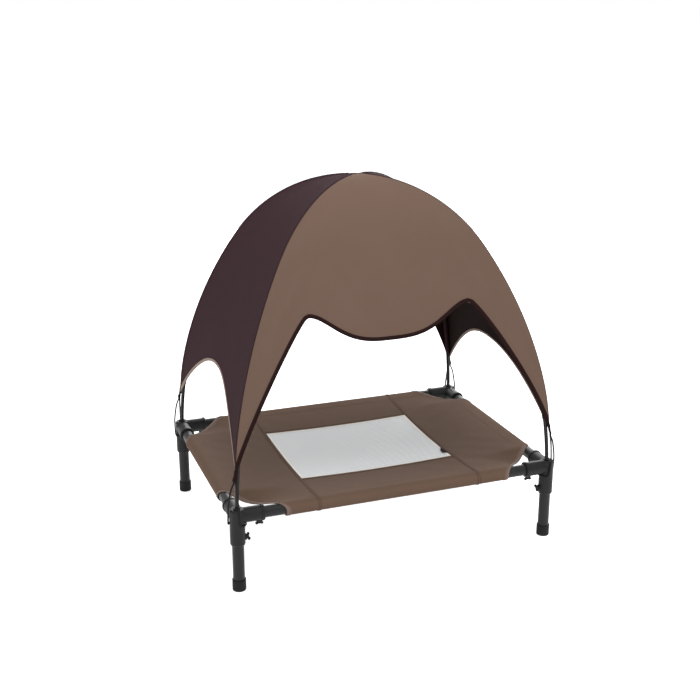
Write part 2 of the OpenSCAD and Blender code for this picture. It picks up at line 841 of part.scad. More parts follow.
// A folded tab outside the pole, square to the diagonal, with round lower corners
module tip_tab() {
    round_r = tip_tab_w / 4;
    color(dark_colour)
        translate([0, 0, tip_tab_low])
            rotate([0, 0, 225])
                translate([tip_tab_out + tip_tab_t / 2, 0, 0])
                    rotate([0, -90, 0])
                        linear_extrude(tip_tab_t) {
                            translate([round_r, -tip_tab_w / 2]) square([tip_tab_h - round_r, tip_tab_w]);
                            translate([0, round_r - tip_tab_w / 2])
                                square([tip_tab_h, tip_tab_w - 2 * round_r]);
                            for (side = [-1, 1])
                                translate([round_r, side * (tip_tab_w / 2 - round_r)]) circle(r = round_r);
                        }
}

// Half of an elastic loop: round the leg socket under the rail sockets, up past the hub, to the tip tab
wrap_r = socket_r + loop_r + loop_gap;
loop_low = rail_h - socket_r - loop_r - loop_gap;
loop_end = [-tip_tab_out, 0.45 * tip_tab_w / 2];
half_loop = concat(
    [for (a = [45, 15, -15, -45, -70]) [wrap_r * cos(a), wrap_r * sin(a), loop_low]],
    [
        [3, -wrap_r - 0.2, rail_h - 12],
        [1, -wrap_r - 0.3, rail_h],
        [0, -wrap_r - 0.2, rail_h + 13],
        [-0.5, -wrap_r + 0.4, rail_h + 24],
        [-1, -wrap_r + 3, rail_h + 42],
        [-1.6, -wrap_r + 6.8, rail_h + 60],
        [
            (loop_end[0] + loop_end[1]) / sqrt(2),
            (loop_end[0] - loop_end[1]) / sqrt(2) - 0.3,
            tip_tab_low - loop_d - 0.3
        ],
        [
            (loop_end[0] + loop_end[1]) / sqrt(2),
            (loop_end[0] - loop_end[1]) / sqrt(2),
            tip_tab_low - 0.3
        ],
    ]
);
loop_path = concat(
    [for (i = [len(half_loop) - 1 : -1 : 1]) [half_loop[i][1], half_loop[i][0], half_loop[i][2]]],
    half_loop
);

// One tube swept along a path, square to it at each ring
module swept_tube(path, r, sides) {
    count = len(path);
    dirs = [
        for (i = [0 : count - 1])
            let (d = path[min(i + 1, count - 1)] - path[max(i - 1, 0)]) d / norm(d)
    ];
    outward = [for (i = [0 : count - 1]) let (p = path[i]) [p[0], p[1], 0]];
    points = [
        for (i = [0 : count - 1], k = [0 : sides - 1])
            let (
                side = cross(dirs[i], outward[i]),
                e1 = side / norm(side),
                e2 = cross(e1, dirs[i])
            )
            path[i] + r * (cos(360 * k / sides) * e1 + sin(360 * k / sides) * e2)
    ];
    end = (count - 1) * sides;
    faces = concat(
        [
            for (i = [0 : count - 2], k = [0 : sides - 1])
                let (a = i * sides + k, b = i * sides + (k + 1) % sides)
                each [[a, a + sides, b + sides], [a, b + sides, b]]
        ],
        [for (k = [1 : sides - 2]) [0, k, k + 1]],
        [for (k = [1 : sides - 2]) [end, end + k + 1, end + k]]
    );
    polyhedron(points = points, faces = faces);
}

module elastic_loop() {
    color(plastic_colour) swept_tube(loop_path, loop_r, 8);
}

for (c = CORNERS) {
    at_corner(c) leg();
    at_corner(c) foot_cap();
    at_corner(c) connector();
    at_corner(c) at_leg_screw() rotate([leg_wing_turn, 0, 0]) wing_screw();
    at_corner(c) at_long_screw() rotate([90, 0, 0]) wing_screw();
    at_corner(c) at_short_screw() rotate([90, 0, 0]) wing_screw();
    at_corner(c) tip_tab();
    at_corner(c) elastic_loop();
}
long_rail(-1);  // rail_front
long_rail(1);  // rail_back
short_rail(-1);  // rail_left
short_rail(1);  // rail_right
sheet_front();
mirror([0, 1, 0]) sheet_front();  // sheet_back
sheet_left();
mirror([1, 0, 0]) sheet_left();  // sheet_right
mesh_panel();
seam_tab();
for (p = POLES) {
    pole_front(p);
    pole_crown(p);
    pole_back(p);
    ferrules(p);
    pole_sleeves(p);
}
gore_front();
mirror([0, 1, 0]) gore_front();  // gore_back
gore_left();
mirror([1, 0, 0]) gore_left();  // gore_right
binding_front();
mirror([0, 1, 0]) binding_front();  // binding_back
binding_left();
mirror([1, 0, 0]) binding_left();  // binding_right
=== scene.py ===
"""Dresses the raised dog cot and its dome canopy: cloth, mesh, tapes, cords, threads and finishes."""

import math

import bmesh
import bpy
import numpy as np
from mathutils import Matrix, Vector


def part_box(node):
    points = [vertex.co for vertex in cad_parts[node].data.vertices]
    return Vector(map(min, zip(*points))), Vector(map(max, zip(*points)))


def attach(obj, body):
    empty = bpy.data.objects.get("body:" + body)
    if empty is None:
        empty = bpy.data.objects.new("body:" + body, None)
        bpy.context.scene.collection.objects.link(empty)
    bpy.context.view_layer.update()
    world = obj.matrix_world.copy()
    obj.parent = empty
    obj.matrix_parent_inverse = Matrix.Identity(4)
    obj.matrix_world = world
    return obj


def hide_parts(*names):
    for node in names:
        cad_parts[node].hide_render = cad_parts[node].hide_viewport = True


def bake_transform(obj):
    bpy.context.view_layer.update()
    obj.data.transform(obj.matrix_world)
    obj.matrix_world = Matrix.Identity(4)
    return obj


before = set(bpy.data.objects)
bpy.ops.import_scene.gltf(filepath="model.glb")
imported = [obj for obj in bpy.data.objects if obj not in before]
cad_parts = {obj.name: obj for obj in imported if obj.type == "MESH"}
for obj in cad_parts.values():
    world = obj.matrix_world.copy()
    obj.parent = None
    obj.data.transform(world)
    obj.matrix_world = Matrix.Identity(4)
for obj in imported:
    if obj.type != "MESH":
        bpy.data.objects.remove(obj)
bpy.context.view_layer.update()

# Sizes of the cot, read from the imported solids, in metres
leg_low, leg_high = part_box("leg_front_right")
HALF_L = (leg_low.x + leg_high.x) / 2
HALF_W = -(leg_low.y + leg_high.y) / 2
rail_low, rail_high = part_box("rail_front")
RAIL_Z = (rail_low.z + rail_high.z) / 2
TUBE_R = (rail_high.z - rail_low.z) / 2

# Sheet: cloth, sleeves round the rails, cut corners, mesh panel, seams and the small tab
CLOTH_T = 0.001
GAP = 0.0003
SLEEVE_IN = TUBE_R + GAP
SLEEVE_OUT = SLEEVE_IN + CLOTH_T
LONG_SLEEVE_END = 0.088
SHORT_SLEEVE_END = 0.092
SLEEVE_SLANT = 0.015
CORNER_HOLLOW = 0.002
FLAP_L = 0.028
MESH_L = 0.364
MESH_W = 0.278
SHEET_SAG = 0.020
DRAG = 0.0006
DRAG_WAVES = 26
DRAG_AT = 0.40
DRAG_REACH = 0.10
CORNER_DROP = 0.014
BACK_HANG = 0.5
HEM_W = 0.010
HEM_SEWN = 0.0078
SLEEVE_SLACK = 0.0018
WRAP_TURN = math.radians(222)
WRAP_STEPS = 20
PANEL_COLS = 26
SEAM_W = 0.008
SEAM_SEWN = 0.0062
SEAM_SEWN_NEAR = 0.0016
STRIP_T = 0.0008
FOLD_T = 0.0007
MESH_TAPE_W = 0.0052
MESH_TAPE_T = 0.0004
SLANT_STEP = 0.0024
SLANT_IN = 0.0014
SLANT_OUT = 0.0016
SLEEVE_SEWN = (0.0015, 0.006)
LONG_ROW_IN = 0.021
SHORT_ROW_IN = 0.035
SEAM_TAB_LIFT = 0.0014
SEAM_TAB_CURL = 0.0009

# Poles and canopy
POLE_R = 0.00425
SPRING_Z = RAIL_Z + 0.012
ARCH_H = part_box("pole_a_crown")[1].z - POLE_R - SPRING_Z
POLE_DROP = 0.0089
CROWN_R = 0.345
POLE_LEAN = math.radians(2)
SPAN = math.hypot(HALF_L, HALF_W)
CANOPY_OUT = 0.0088
FRONT_DRAW = 0.020
SIDE_DRAW = 0.007
EDGE_RIPPLE = 0.0009
BODY_RIPPLE = 0.0007
RIPPLE_FADE = 0.08
VALANCE_DIP = 0.316
VALANCE_PEAK = 0.376
VALANCE_EASE = 1.55
VALANCE_FALL = 1.3
PEAK_X = 0.179
TIP_RISE = 0.078
SIDE_ARCH = 0.228
TAPE_T = 0.0008
FRONT_TAPE = 0.008
SIDE_TAPE = 0.006
TIP_TAB_W = 0.009
TIP_HUG = 0.0025
TIP_FADE = 0.06
TAPE_SEWN = 0.8
RIDGE_FOOT = 0.012
RIDGE_HEAD = 0.02
GORE_COLS = 81
GORE_ROWS = 44
POLE_SLEEVE_START = 0.104
POLE_SLEEVE_STOP = 0.070
POLE_SLEEVE_IN = 0.0050
POLE_SLEEVE_OUT = 0.0053
POLE_SLEEVE_HEM = 0.008
PUCKER = 0.00012
PUCKER_WAVES = 900

# Elastic loops: the cord, its turn round the leg socket and its way up to the tab
CORD_R = 0.0018
LOOP_R = 0.0182
LOOP_Z = 0.1518
LOOP_RISE = [
    (0.003, -0.0184, 0.158), (0.001, -0.0185, 0.170), (0.0, -0.0184, 0.183), (-0.0005, -0.0178, 0.194),
    (-0.001, -0.0152, 0.212), (-0.0016, -0.0114, 0.230), (-0.0021, -0.00527, 0.2444),
    (-0.0024, -0.00497, 0.2474), (-0.0027, -0.0050, 0.2500),
]

# Small measures that all pieces share
HAIR = 0.0002
MERGE = 1e-7
PROBE = 0.0005
SHARP_TURN = math.radians(50)
STITCH_SHARE = 0.72
UP = np.array([0.0, 0.0, 1.0])

CORNERS = {
    "front_left": (-1, -1),
    "front_right": (1, -1),
    "back_left": (-1, 1),
    "back_right": (1, 1),
}
LONG_SIDES = ("front", "back")
SHORT_SIDES = ("left", "right")
SIDES = LONG_SIDES + SHORT_SIDES
PHASE = {"front": 0.4, "back": 2.1, "left": 3.3, "right": 5.2}


# Node helpers
VALUE = "NodeSocketFloat"
COLOUR = "NodeSocketColor"
VECTOR = "NodeSocketVector"
WEAVE_DEPTH = 0.0003
GRAIN_DEPTH = 0.00005
METAL_DEPTH = 0.00003
NET_HOLES = 330.0


def srgb(red, green, blue):
    """A display colour from 0 to 255 as Blender's linear colour."""
    parts = [c / 255 for c in (red, green, blue)]
    linear = [c / 12.92 if c <= 0.04045 else ((c + 0.055) / 1.055) ** 2.4 for c in parts]
    return (*linear, 1.0)


def spaced(values):
    """Values by socket name, with a space for each underscore."""
    return {name.replace("_", " "): value for name, value in values.items()}


class Nodes:
    """A shader tree, with calls that add nodes and hand over what they give."""

    def __init__(self, tree):
        self.tree = tree

    def feed(self, sockets, values):
        """Links sockets, by name or number, to what feeds them, or sets their own values."""
        for key, value in values.items():
            if isinstance(value, bpy.types.NodeSocket):
                self.tree.links.new(value, sockets[key])
            else:
                sockets[key].default_value = value

    def add(self, kind, values=(), **settings):
        """A new node with these settings and values."""
        node = self.tree.nodes.new("ShaderNode" + kind)
        for name, setting in settings.items():
            setattr(node, name, setting)
        self.feed(node.inputs, dict(values))
        return node.outputs

    def calc(self, operation, *values):
        """A math node's result."""
        return self.add("Math", enumerate(values), operation=operation)[0]

    def spread(self, value, low, high, to_low=0.0, to_high=1.0):
        """A value carried from one range to another, held at its ends."""
        return self.add("MapRange", enumerate((value, low, high, to_low, to_high)))["Result"]

    def blend(self, share, first, second):
        """A colour between two, by a share that changes over the surface."""
        return self.add("Mix", {0: share, 6: first, 7: second}, data_type="RGBA")[2]

    def noise(self, vector, scale, detail):
        """A noise pattern from 0 to 1."""
        return self.add("TexNoise", {"Vector": vector, "Scale": scale, "Detail": detail})["Fac"]

    def parts(self, vector, scale):
        """The three parts of a vector made larger."""
        larger = self.add("VectorMath", {0: vector, "Scale": scale}, operation="SCALE")[0]
        return self.add("SeparateXYZ", {0: larger})

    def in_view(self):
        """One for rays from the camera, a mirror or a clear face, else nought."""
        path = self.add("LightPath")
        first = self.calc("MAXIMUM", path["Is Camera Ray"], path["Is Glossy Ray"])
        return self.calc("MAXIMUM", first, path["Is Transmission Ray"])


class Group(Nodes):
    """A shader group. A number among its inputs is a value's default."""

    def __init__(self, name, inputs, outputs):
        super().__init__(bpy.data.node_groups.new(name, "ShaderNodeTree"))
        new_socket = self.tree.interface.new_socket
        for label, kind in inputs.items():
            if isinstance(kind, float):
                new_socket(label, in_out="INPUT", socket_type=VALUE).default_value = kind
            else:
                new_socket(label, in_out="INPUT", socket_type=kind)
        for label, kind in outputs.items():
            new_socket(label, in_out="OUTPUT", socket_type=kind)
        self.given = self.tree.nodes.new("NodeGroupInput").outputs
        self.results = self.tree.nodes.new("NodeGroupOutput").inputs

    def give(self, **values):
        """Feeds the outputs and hands over the group's tree."""
        self.feed(self.results, values)
        return self.tree


def oxford_weave_group():
    """Plain weave of round threads: its height, and a colour with painted shade between threads and faded in
    patches.
    """
    group = Group(
        "Oxford weave",
        {"Vector": VECTOR, "Threads": 900.0, "Thread": COLOUR, "Gap": COLOUR, "Faded": COLOUR},
        {"Colour": COLOUR, "Height": VALUE, "Roughness": VALUE},
    )
    given = group.given
    across, along, _ = group.parts(given["Vector"], given["Threads"])
    steps = group.calc("ADD", group.calc("FLOOR", across), group.calc("FLOOR", along))
    over = group.calc("PINGPONG", steps, 1.0)
    under = group.calc("SUBTRACT", 1.0, over)
    heights = []
    for part, on_top in ((across, over), (along, under)):
        thread = group.calc("ABSOLUTE", group.calc("SINE", group.calc("MULTIPLY", part, math.pi)))
        heights.append(group.calc("MULTIPLY", thread, group.calc("MULTIPLY_ADD", on_top, 0.55, 0.45)))
    slub = group.noise(given["Vector"], 320.0, 2.0)
    relief = group.calc("MULTIPLY_ADD", slub, 0.3, group.calc("MAXIMUM", *heights))
    patches = group.spread(group.noise(given["Vector"], 9.0, 4.0), 0.4, 0.75, 0.0, 0.6)
    threads = group.blend(patches, given["Thread"], given["Faded"])
    # The relief's low parts take the Gap colour: painted shade between threads.
    return group.give(Colour=group.blend(group.spread(relief, 0.35, 1.0), given["Gap"], threads),
                      Height=relief, Roughness=group.spread(slub, 0.2, 0.8, 0.72, 0.9))


def knitted_net_group():
    """Knitted net: staggered round holes between soft threads, as a mask, a height and a shade."""
    group = Group(
        "Knitted net",
        {"Vector": VECTOR, "Holes": NET_HOLES},
        {"Thread": VALUE, "Height": VALUE, "Shade": VALUE},
    )
    column, row, _ = group.parts(group.given["Vector"], group.given["Holes"])
    odd_row = group.calc("PINGPONG", group.calc("FLOOR", row), 1.0)
    shifted = group.calc("MULTIPLY_ADD", odd_row, 0.5, column)
    across = group.calc("SUBTRACT", group.calc("FRACT", shifted), 0.5)
    along = group.calc("SUBTRACT", group.calc("FRACT", row), 0.5)
    square = group.calc("MULTIPLY_ADD", across, across, group.calc("MULTIPLY", along, along))
    reach = group.calc("SQRT", square)
    return group.give(Thread=group.spread(reach, 0.27, 0.33), Height=group.spread(reach, 0.25, 0.55),
                      Shade=group.noise(group.given["Vector"], 14.0, 4.0))


def moulded_grain_group():
    """Fine grain of a moulded or powder-coated face, with rubbed patches: height, roughness, rub mask."""
    group = Group(
        "Moulded grain",
        {"Vector": VECTOR, "Grain": 1400.0, "Least rough": 0.35, "Most rough": 0.6},
        {"Height": VALUE, "Roughness": VALUE, "Rub": VALUE},
    )
    given = group.given
    broad = group.noise(given["Vector"], 26.0, 4.0)
    return group.give(Height=group.noise(given["Vector"], given["Grain"], 2.0),
                      Roughness=group.spread(broad, 0.3, 0.7, given["Least rough"], given["Most rough"]),
                      Rub=group.spread(broad, 0.52, 0.72))


def worn_edge_group():
    """Edges rounded by a small radius: the rounded normal, and a mask of the worn edge line."""
    group = Group("Worn edge", {"Radius": 0.0006, "Vector": VECTOR}, {"Normal": VECTOR, "Wear": VALUE})
    rounded = group.add("Bevel", {"Radius": group.given["Radius"]}, samples=4)[0]
    plain = group.add("NewGeometry")["Normal"]
    facing = group.add("VectorMath", {0: rounded, 1: plain}, operation="DOT_PRODUCT")["Value"]
    patchy = group.spread(group.noise(group.given["Vector"], 90.0, 4.0), 0.4, 0.65)
    return group.give(Normal=rounded, Wear=group.calc("MULTIPLY", group.spread(facing, 0.97, 0.8), patchy))


def braid_group():
    """Braided cover of a cord: two sets of slanting threads, from a vector of turns and length."""
    group = Group("Braided cover", {"Vector": VECTOR, "Plaits": 700.0}, {"Height": VALUE, "Shade": VALUE})
    around, along, _ = group.add("SeparateXYZ", {0: group.given["Vector"]})
    length = group.calc("MULTIPLY", along, group.given["Plaits"])
    turns = group.calc("MULTIPLY", around, 6.0 * math.pi)
    right, left = [group.calc("SINE", group.calc(way, length, turns)) for way in ("ADD", "SUBTRACT")]
    height = group.calc("MAXIMUM", right, left)
    # Shade is low in the grooves between plaits and high on their crests: painted shade of the grooves.
    return group.give(Height=group.spread(height, -1.0, 1.0), Shade=group.spread(height, -0.2, 1.0))


OXFORD_WEAVE = oxford_weave_group()
KNITTED_NET = knitted_net_group()
MOULDED_GRAIN = moulded_grain_group()
WORN_EDGE = worn_edge_group()
BRAIDED_COVER = braid_group()


# Materials


class Finish(Nodes):
    """A material with its shader, ready for groups to be placed in it."""

    def __init__(self, name):
        self.material = bpy.data.materials.new(name)
        self.material.use_nodes = True
        super().__init__(self.material.node_tree)
        self.shader = self.tree.nodes["Principled BSDF"]

    def place(self, group, **values):
        """Places a group with its own values."""
        return self.add("Group", spaced(values), node_tree=group)

    def set(self, **values):
        """Sets or feeds the shader's own sockets."""
        self.feed(self.shader.inputs, spaced(values))

    def cloth_place(self):
        """The place on the cloth, in metres, as it was cut flat."""
        return self.add("UVMap", uv_map="Flat")[0]

    def solid_place(self):
        """The place in the solid, in metres."""
        return self.add("TexCoord")["Object"]

    def bump(self, height, strength, distance, **normal):
        """Raises the surface by a height and hands over the finished material."""
        values = {"Strength": strength, "Distance": distance, "Height": height, **normal}
        self.set(Normal=self.add("Bump", values)[0])
        return self.material


def woven(name, thread, gap, faded, threads=900.0, sheen=0.12):
    """A woven cloth or tape."""
    finish = Finish(name)
    weave = finish.place(OXFORD_WEAVE, Vector=finish.cloth_place(), Threads=threads, Thread=srgb(*thread),
                         Gap=srgb(*gap), Faded=srgb(*faded))
    finish.set(Base_Color=weave["Colour"], Roughness=weave["Roughness"], Specular_IOR_Level=sheen)
    return finish.bump(weave["Height"], 0.35, WEAVE_DEPTH)


def knitted_mesh():
    """The breathable mesh panel."""
    finish = Finish("Breathable mesh")
    net = finish.place(KNITTED_NET, Vector=finish.cloth_place(), Holes=NET_HOLES)
    tone = finish.blend(net["Shade"], srgb(247, 248, 248), srgb(240, 242, 243))
    # The holes take a grey colour: painted shade of the space seen through the net.
    net_shaded_holes = finish.blend(net["Thread"], srgb(196, 197, 198), tone)
    finish.set(Base_Color=net_shaded_holes, Roughness=0.75, Specular_IOR_Level=0.2,
               Alpha=finish.spread(net["Thread"], 0.0, 1.0, 0.6, 1.0))
    return finish.bump(net["Height"], 0.4, WEAVE_DEPTH)


def coated(name, colour, worn, grain, least, most, edge=0.0006):
    """A moulded plastic, rubber or powder-coated face with rounded, slightly worn edges."""
    finish = Finish(name)
    place = finish.solid_place()
    surface = finish.place(MOULDED_GRAIN, Vector=place, Grain=grain, Least_rough=least, Most_rough=most)
    edges = finish.place(WORN_EDGE, Radius=edge, Vector=place)
    share = finish.calc("MAXIMUM", finish.calc("MULTIPLY", surface["Rub"], 0.25), edges["Wear"])
    finish.set(Base_Color=finish.blend(share, srgb(*colour), srgb(*worn)), Roughness=surface["Roughness"],
               Specular_IOR_Level=0.24)
    return finish.bump(surface["Height"], 0.25, GRAIN_DEPTH, Normal=edges["Normal"])


def bright_metal():
    """The ferrules' drawn metal."""
    finish = Finish("Ferrule metal")
    surface = finish.place(MOULDED_GRAIN, Vector=finish.solid_place(), Grain=2200.0, Least_rough=0.25,
                           Most_rough=0.42)
    tone = finish.blend(surface["Rub"], srgb(176, 178, 180), srgb(150, 152, 154))
    finish.set(Base_Color=tone, Metallic=1.0, Roughness=surface["Roughness"])
    return finish.bump(surface["Height"], 0.1, METAL_DEPTH)


def braided(name, colour, light):
    """The elastic cord's braided cover."""
    finish = Finish(name)
    braid = finish.place(BRAIDED_COVER, Vector=finish.cloth_place(), Plaits=2600.0)
    # The cord is darker in the braid's grooves and lighter on its crests: painted shade.
    finish.set(Base_Color=finish.blend(braid["Shade"], srgb(*colour), srgb(*light)), Roughness=0.8,
               Specular_IOR_Level=0.2)
    return finish.bump(braid["Height"], 0.5, WEAVE_DEPTH)


LIGHT_CLOTH = woven("Light brown canopy cloth", (114, 92, 80), (94, 75, 65), (120, 97, 85))
DARK_CLOTH = woven("Dark brown canopy cloth", (60, 43, 47), (47, 32, 35), (64, 46, 50), sheen=0.03)
# The canopy's inner faces: a near-black brown that paints the shade inside the canopy onto the cloth.
INNER_FACE_SHADE = woven("Canopy inner face painted shade", (34, 23, 22), (26, 17, 16), (37, 25, 24), sheen=0.03)
SHEET_CLOTH = woven("Brown sheet cloth", (108, 87, 74), (88, 70, 59), (114, 92, 79), 800.0, 0.06)
# The turned hems: the sheet's own brown made paler, a painted highlight along the folded edges.
HEM_HIGHLIGHT_CLOTH = woven("Turned hem painted highlight", (128, 109, 99), (104, 88, 79), (134, 114, 104), 800.0)
DARK_TAPE = woven("Dark binding tape", (42, 27, 26), (31, 19, 18), (46, 31, 29), 1100.0, 0.03)
LIGHT_TAPE = woven("Grey-brown piping tape", (158, 140, 130), (128, 111, 103), (168, 150, 140), 1100.0)
PALE_TAPE = woven("Pale mesh edge tape", (252, 246, 238), (226, 219, 210), (254, 250, 244), 1100.0)
DARK_THREAD = woven("Dark sewing thread", (50, 37, 35), (38, 28, 27), (56, 42, 40), 2500.0)
LIGHT_THREAD = woven("Brown sewing thread", (140, 117, 102), (112, 92, 80), (148, 124, 108), 2500.0)
MESH = knitted_mesh()
TUBE_COAT = coated("Black powder-coated tube", (26, 26, 27), (58, 57, 56), 2600.0, 0.34, 0.5)
CONNECTOR_PLASTIC = coated("Moulded black connector", (20, 20, 21), (44, 43, 42), 1500.0, 0.42, 0.58, 0.001)
SCREW_PLASTIC = coated("Moulded wing screw", (17, 17, 18), (40, 39, 38), 1500.0, 0.42, 0.6, 0.0005)
FOOT_RUBBER = coated("Foot cap rubber", (20, 20, 20), (40, 39, 38), 900.0, 0.62, 0.85, 0.001)
POLE_COAT = coated("Glass-fibre pole", (22, 22, 23), (44, 44, 44), 3200.0, 0.3, 0.42)
FERRULE_METAL = bright_metal()
ELASTIC_BRAID = braided("Black elastic braid", (16, 16, 17), (36, 35, 35))


# Mesh helpers


def strides(points, axis=0):
    """Distances from each point of a line or grid to the next."""
    return np.linalg.norm(np.diff(points, axis=axis), axis=-1)


def distance_along(line):
    """Distance of each point of a line from its start."""
    return np.concatenate([[0.0], np.cumsum(strides(line))])


def add_object(name, data):
    """A new object in the scene."""
    made = bpy.data.objects.new(name, data)
    bpy.context.scene.collection.objects.link(made)
    return made


def make_piece(name, points, faces, flat, materials, body, slot, replaced=(), inner=None):
    """A smooth mesh on a body, with its flat cloth place as UV, and a second material on the inner faces."""
    mesh = bpy.data.meshes.new(name)
    mesh.from_pydata([tuple(p) for p in np.asarray(points).reshape(-1, 3)], [], [list(f) for f in faces])
    for material in materials:
        mesh.materials.append(material)
    places = mesh.uv_layers.new(name="Flat")
    corners = np.zeros(len(mesh.loops), dtype=np.int32)
    mesh.loops.foreach_get("vertex_index", corners)
    places.data.foreach_set("uv", np.asarray(flat, dtype=np.float32)[corners].ravel())
    if inner is not None:
        mesh.polygons.foreach_set("material_index", np.asarray(inner, dtype=np.int32))
    work = bmesh.new()
    work.from_mesh(mesh)
    bmesh.ops.remove_doubles(work, verts=work.verts, dist=MERGE)
    bmesh.ops.dissolve_degenerate(work, edges=work.edges, dist=MERGE)
    bmesh.ops.recalc_face_normals(work, faces=work.faces)
    work.to_mesh(mesh)
    work.free()
    mesh.polygons.foreach_set("use_smooth", np.ones(len(mesh.polygons), dtype=bool))
    mesh.set_sharp_from_angle(angle=SHARP_TURN)
    piece = add_object(name, mesh)
    if replaced:
        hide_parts(*replaced)
    if body is not None:
        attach(piece, body)
    return piece


def flat_places(grid):
    """Each point's place in metres along a grid's rows and columns, as if the cloth lay flat."""
    across = np.zeros(grid.shape[:2])
    along = np.zeros(grid.shape[:2])
    across[:, 1:] = np.cumsum(strides(grid, 1), axis=1)
    along[1:, :] = np.cumsum(strides(grid), axis=0)
    return np.stack([across - across[:, -1:] / 2, along], axis=2).reshape(-1, 2)


def shell(outer, inner, kept=None):
    """Points, faces and flat places of a cloth with an outer and an inner face and a closed rim."""
    rows, cols = outer.shape[:2]
    count = rows * cols
    cells = np.argwhere(np.ones((rows - 1, cols - 1), dtype=bool) if kept is None else kept)
    tops = [(a, a + 1, a + cols + 1, a + cols) for a in (cells[:, 0] * cols + cells[:, 1]).tolist()]
    below = [tuple(v + count for v in reversed(face)) for face in tops]
    used = {}
    for face in tops:
        for k in range(4):
            edge = (face[k], face[(k + 1) % 4])
            used[frozenset(edge)] = None if frozenset(edge) in used else edge
    rim = [(e[1], e[0], e[0] + count, e[1] + count) for e in used.values() if e is not None]
    places = flat_places(outer)
    points = np.concatenate([outer.reshape(-1, 3), inner.reshape(-1, 3)])
    return points, tops + below + rim, np.concatenate([places, places])


def tube(rings, closed=False):
    """Points, faces and flat places of a skin over rings of points, closed end to end or by end caps."""
    rings = np.asarray(rings)
    count, around = rings.shape[:2]
    turn = [(j, (j + 1) % around) for j in range(around)]
    faces = []
    for i in range(count if closed else count - 1):
        near = i * around
        far = (i + 1) % count * around
        faces += [(near + j, near + k, far + k, far + j) for j, k in turn]
    if not closed:
        faces.append(tuple(range(around)))
        faces.append(tuple(range(count * around - 1, (count - 1) * around - 1, -1)))
    along = distance_along(rings.mean(axis=1))
    share = np.abs(np.linspace(-1, 1, around, endpoint=False))
    places = np.stack(np.broadcast_arrays(share[None, :], along[:, None]), axis=2)
    return rings.reshape(-1, 3), faces, places.reshape(-1, 2)


def joined(parts):
    """Several (points, faces, places) as one."""
    faces = []
    start = 0
    for points, part_faces, _ in parts:
        faces += [tuple(v + start for v in face) for face in part_faces]
        start += len(points)
    return np.concatenate([part[0] for part in parts]), faces, np.concatenate([part[2] for part in parts])


def unit(vectors):
    """Vectors made one long."""
    lengths = np.linalg.norm(vectors, axis=-1, keepdims=True)
    return vectors / np.maximum(lengths, 1e-12)


def smooth_line(points, steps):
    """A smooth line through points, with so many steps between each two."""
    line = np.asarray(points, dtype=float)
    ends = np.concatenate([[2 * line[0] - line[1]], line, [2 * line[-1] - line[-2]]])
    share = np.linspace(0, 1, steps, endpoint=False)[:, None]
    parts = []
    for i in range(len(line) - 1):
        p0, p1, p2, p3 = ends[i:i + 4]
        parts.append(0.5 * (2 * p1 + (p2 - p0) * share + (2 * p0 - 5 * p1 + 4 * p2 - p3) * share ** 2
                            + (3 * p1 - p0 - 3 * p2 + p3) * share ** 3))
    return np.concatenate([*parts, line[-1:]])


def rings_along(line, radii, sides):
    """Rings round a line, carried along it without twist."""
    heading = unit(np.gradient(line, axis=0))
    side = np.cross(heading[0], (0.3, 0.2, 0.9))
    rings = []
    angles = np.linspace(0, 2 * math.pi, sides, endpoint=False)
    for point, ahead, radius in zip(line, heading, np.broadcast_to(radii, len(line))):
        side = unit(side - ahead * np.dot(side, ahead))
        other = np.cross(ahead, side)
        rings.append(point + radius * (np.cos(angles)[:, None] * side + np.sin(angles)[:, None] * other))
    return np.array(rings)


def make_stitches(name, rows, material, body, slot, pitch=0.0042, thick=0.00042):
    """Sewn threads along rows of (points, outward directions), as one piece."""
    parts = []
    ring = np.array([(1, 0), (0, 1), (-1, 0), (0, -1)], dtype=float)
    lift = thick * np.array([-0.5, 0.45, 0.45, -0.5])[:, None]
    size = thick * np.array([0.55, 1.0, 1.0, 0.55])[:, None, None]
    for line, outward in rows:
        reach = distance_along(line)
        count = int(reach[-1] / pitch)
        if count < 1:
            continue
        room = reach[-1] / count
        starts = (np.arange(count) + (1 - STITCH_SHARE) / 2) * room
        stations = starts[:, None] + STITCH_SHARE * room * np.array([0.0, 0.28, 0.72, 1.0])
        centre = np.stack([np.interp(stations, reach, line[:, k]) for k in range(3)], axis=2)
        up = unit(np.stack([np.interp(stations, reach, outward[:, k]) for k in range(3)], axis=2))
        aside = np.cross(unit(centre[:, -1:] - centre[:, :1]), up)
        around = aside[:, :, None, :] * ring[:, :1] + up[:, :, None, :] * ring[:, 1:]
        parts += [tube(thread) for thread in (centre + up * lift)[:, :, None, :] + size * around]
    return make_piece(name, *joined(parts), [material], body, slot)


def turned(points, half_turn):
    """Points carried to the opposite side of the cot by half a turn."""
    points = np.asarray(points, dtype=float)
    return points * (-1, -1, 1) if half_turn else points


# The canopy's shape


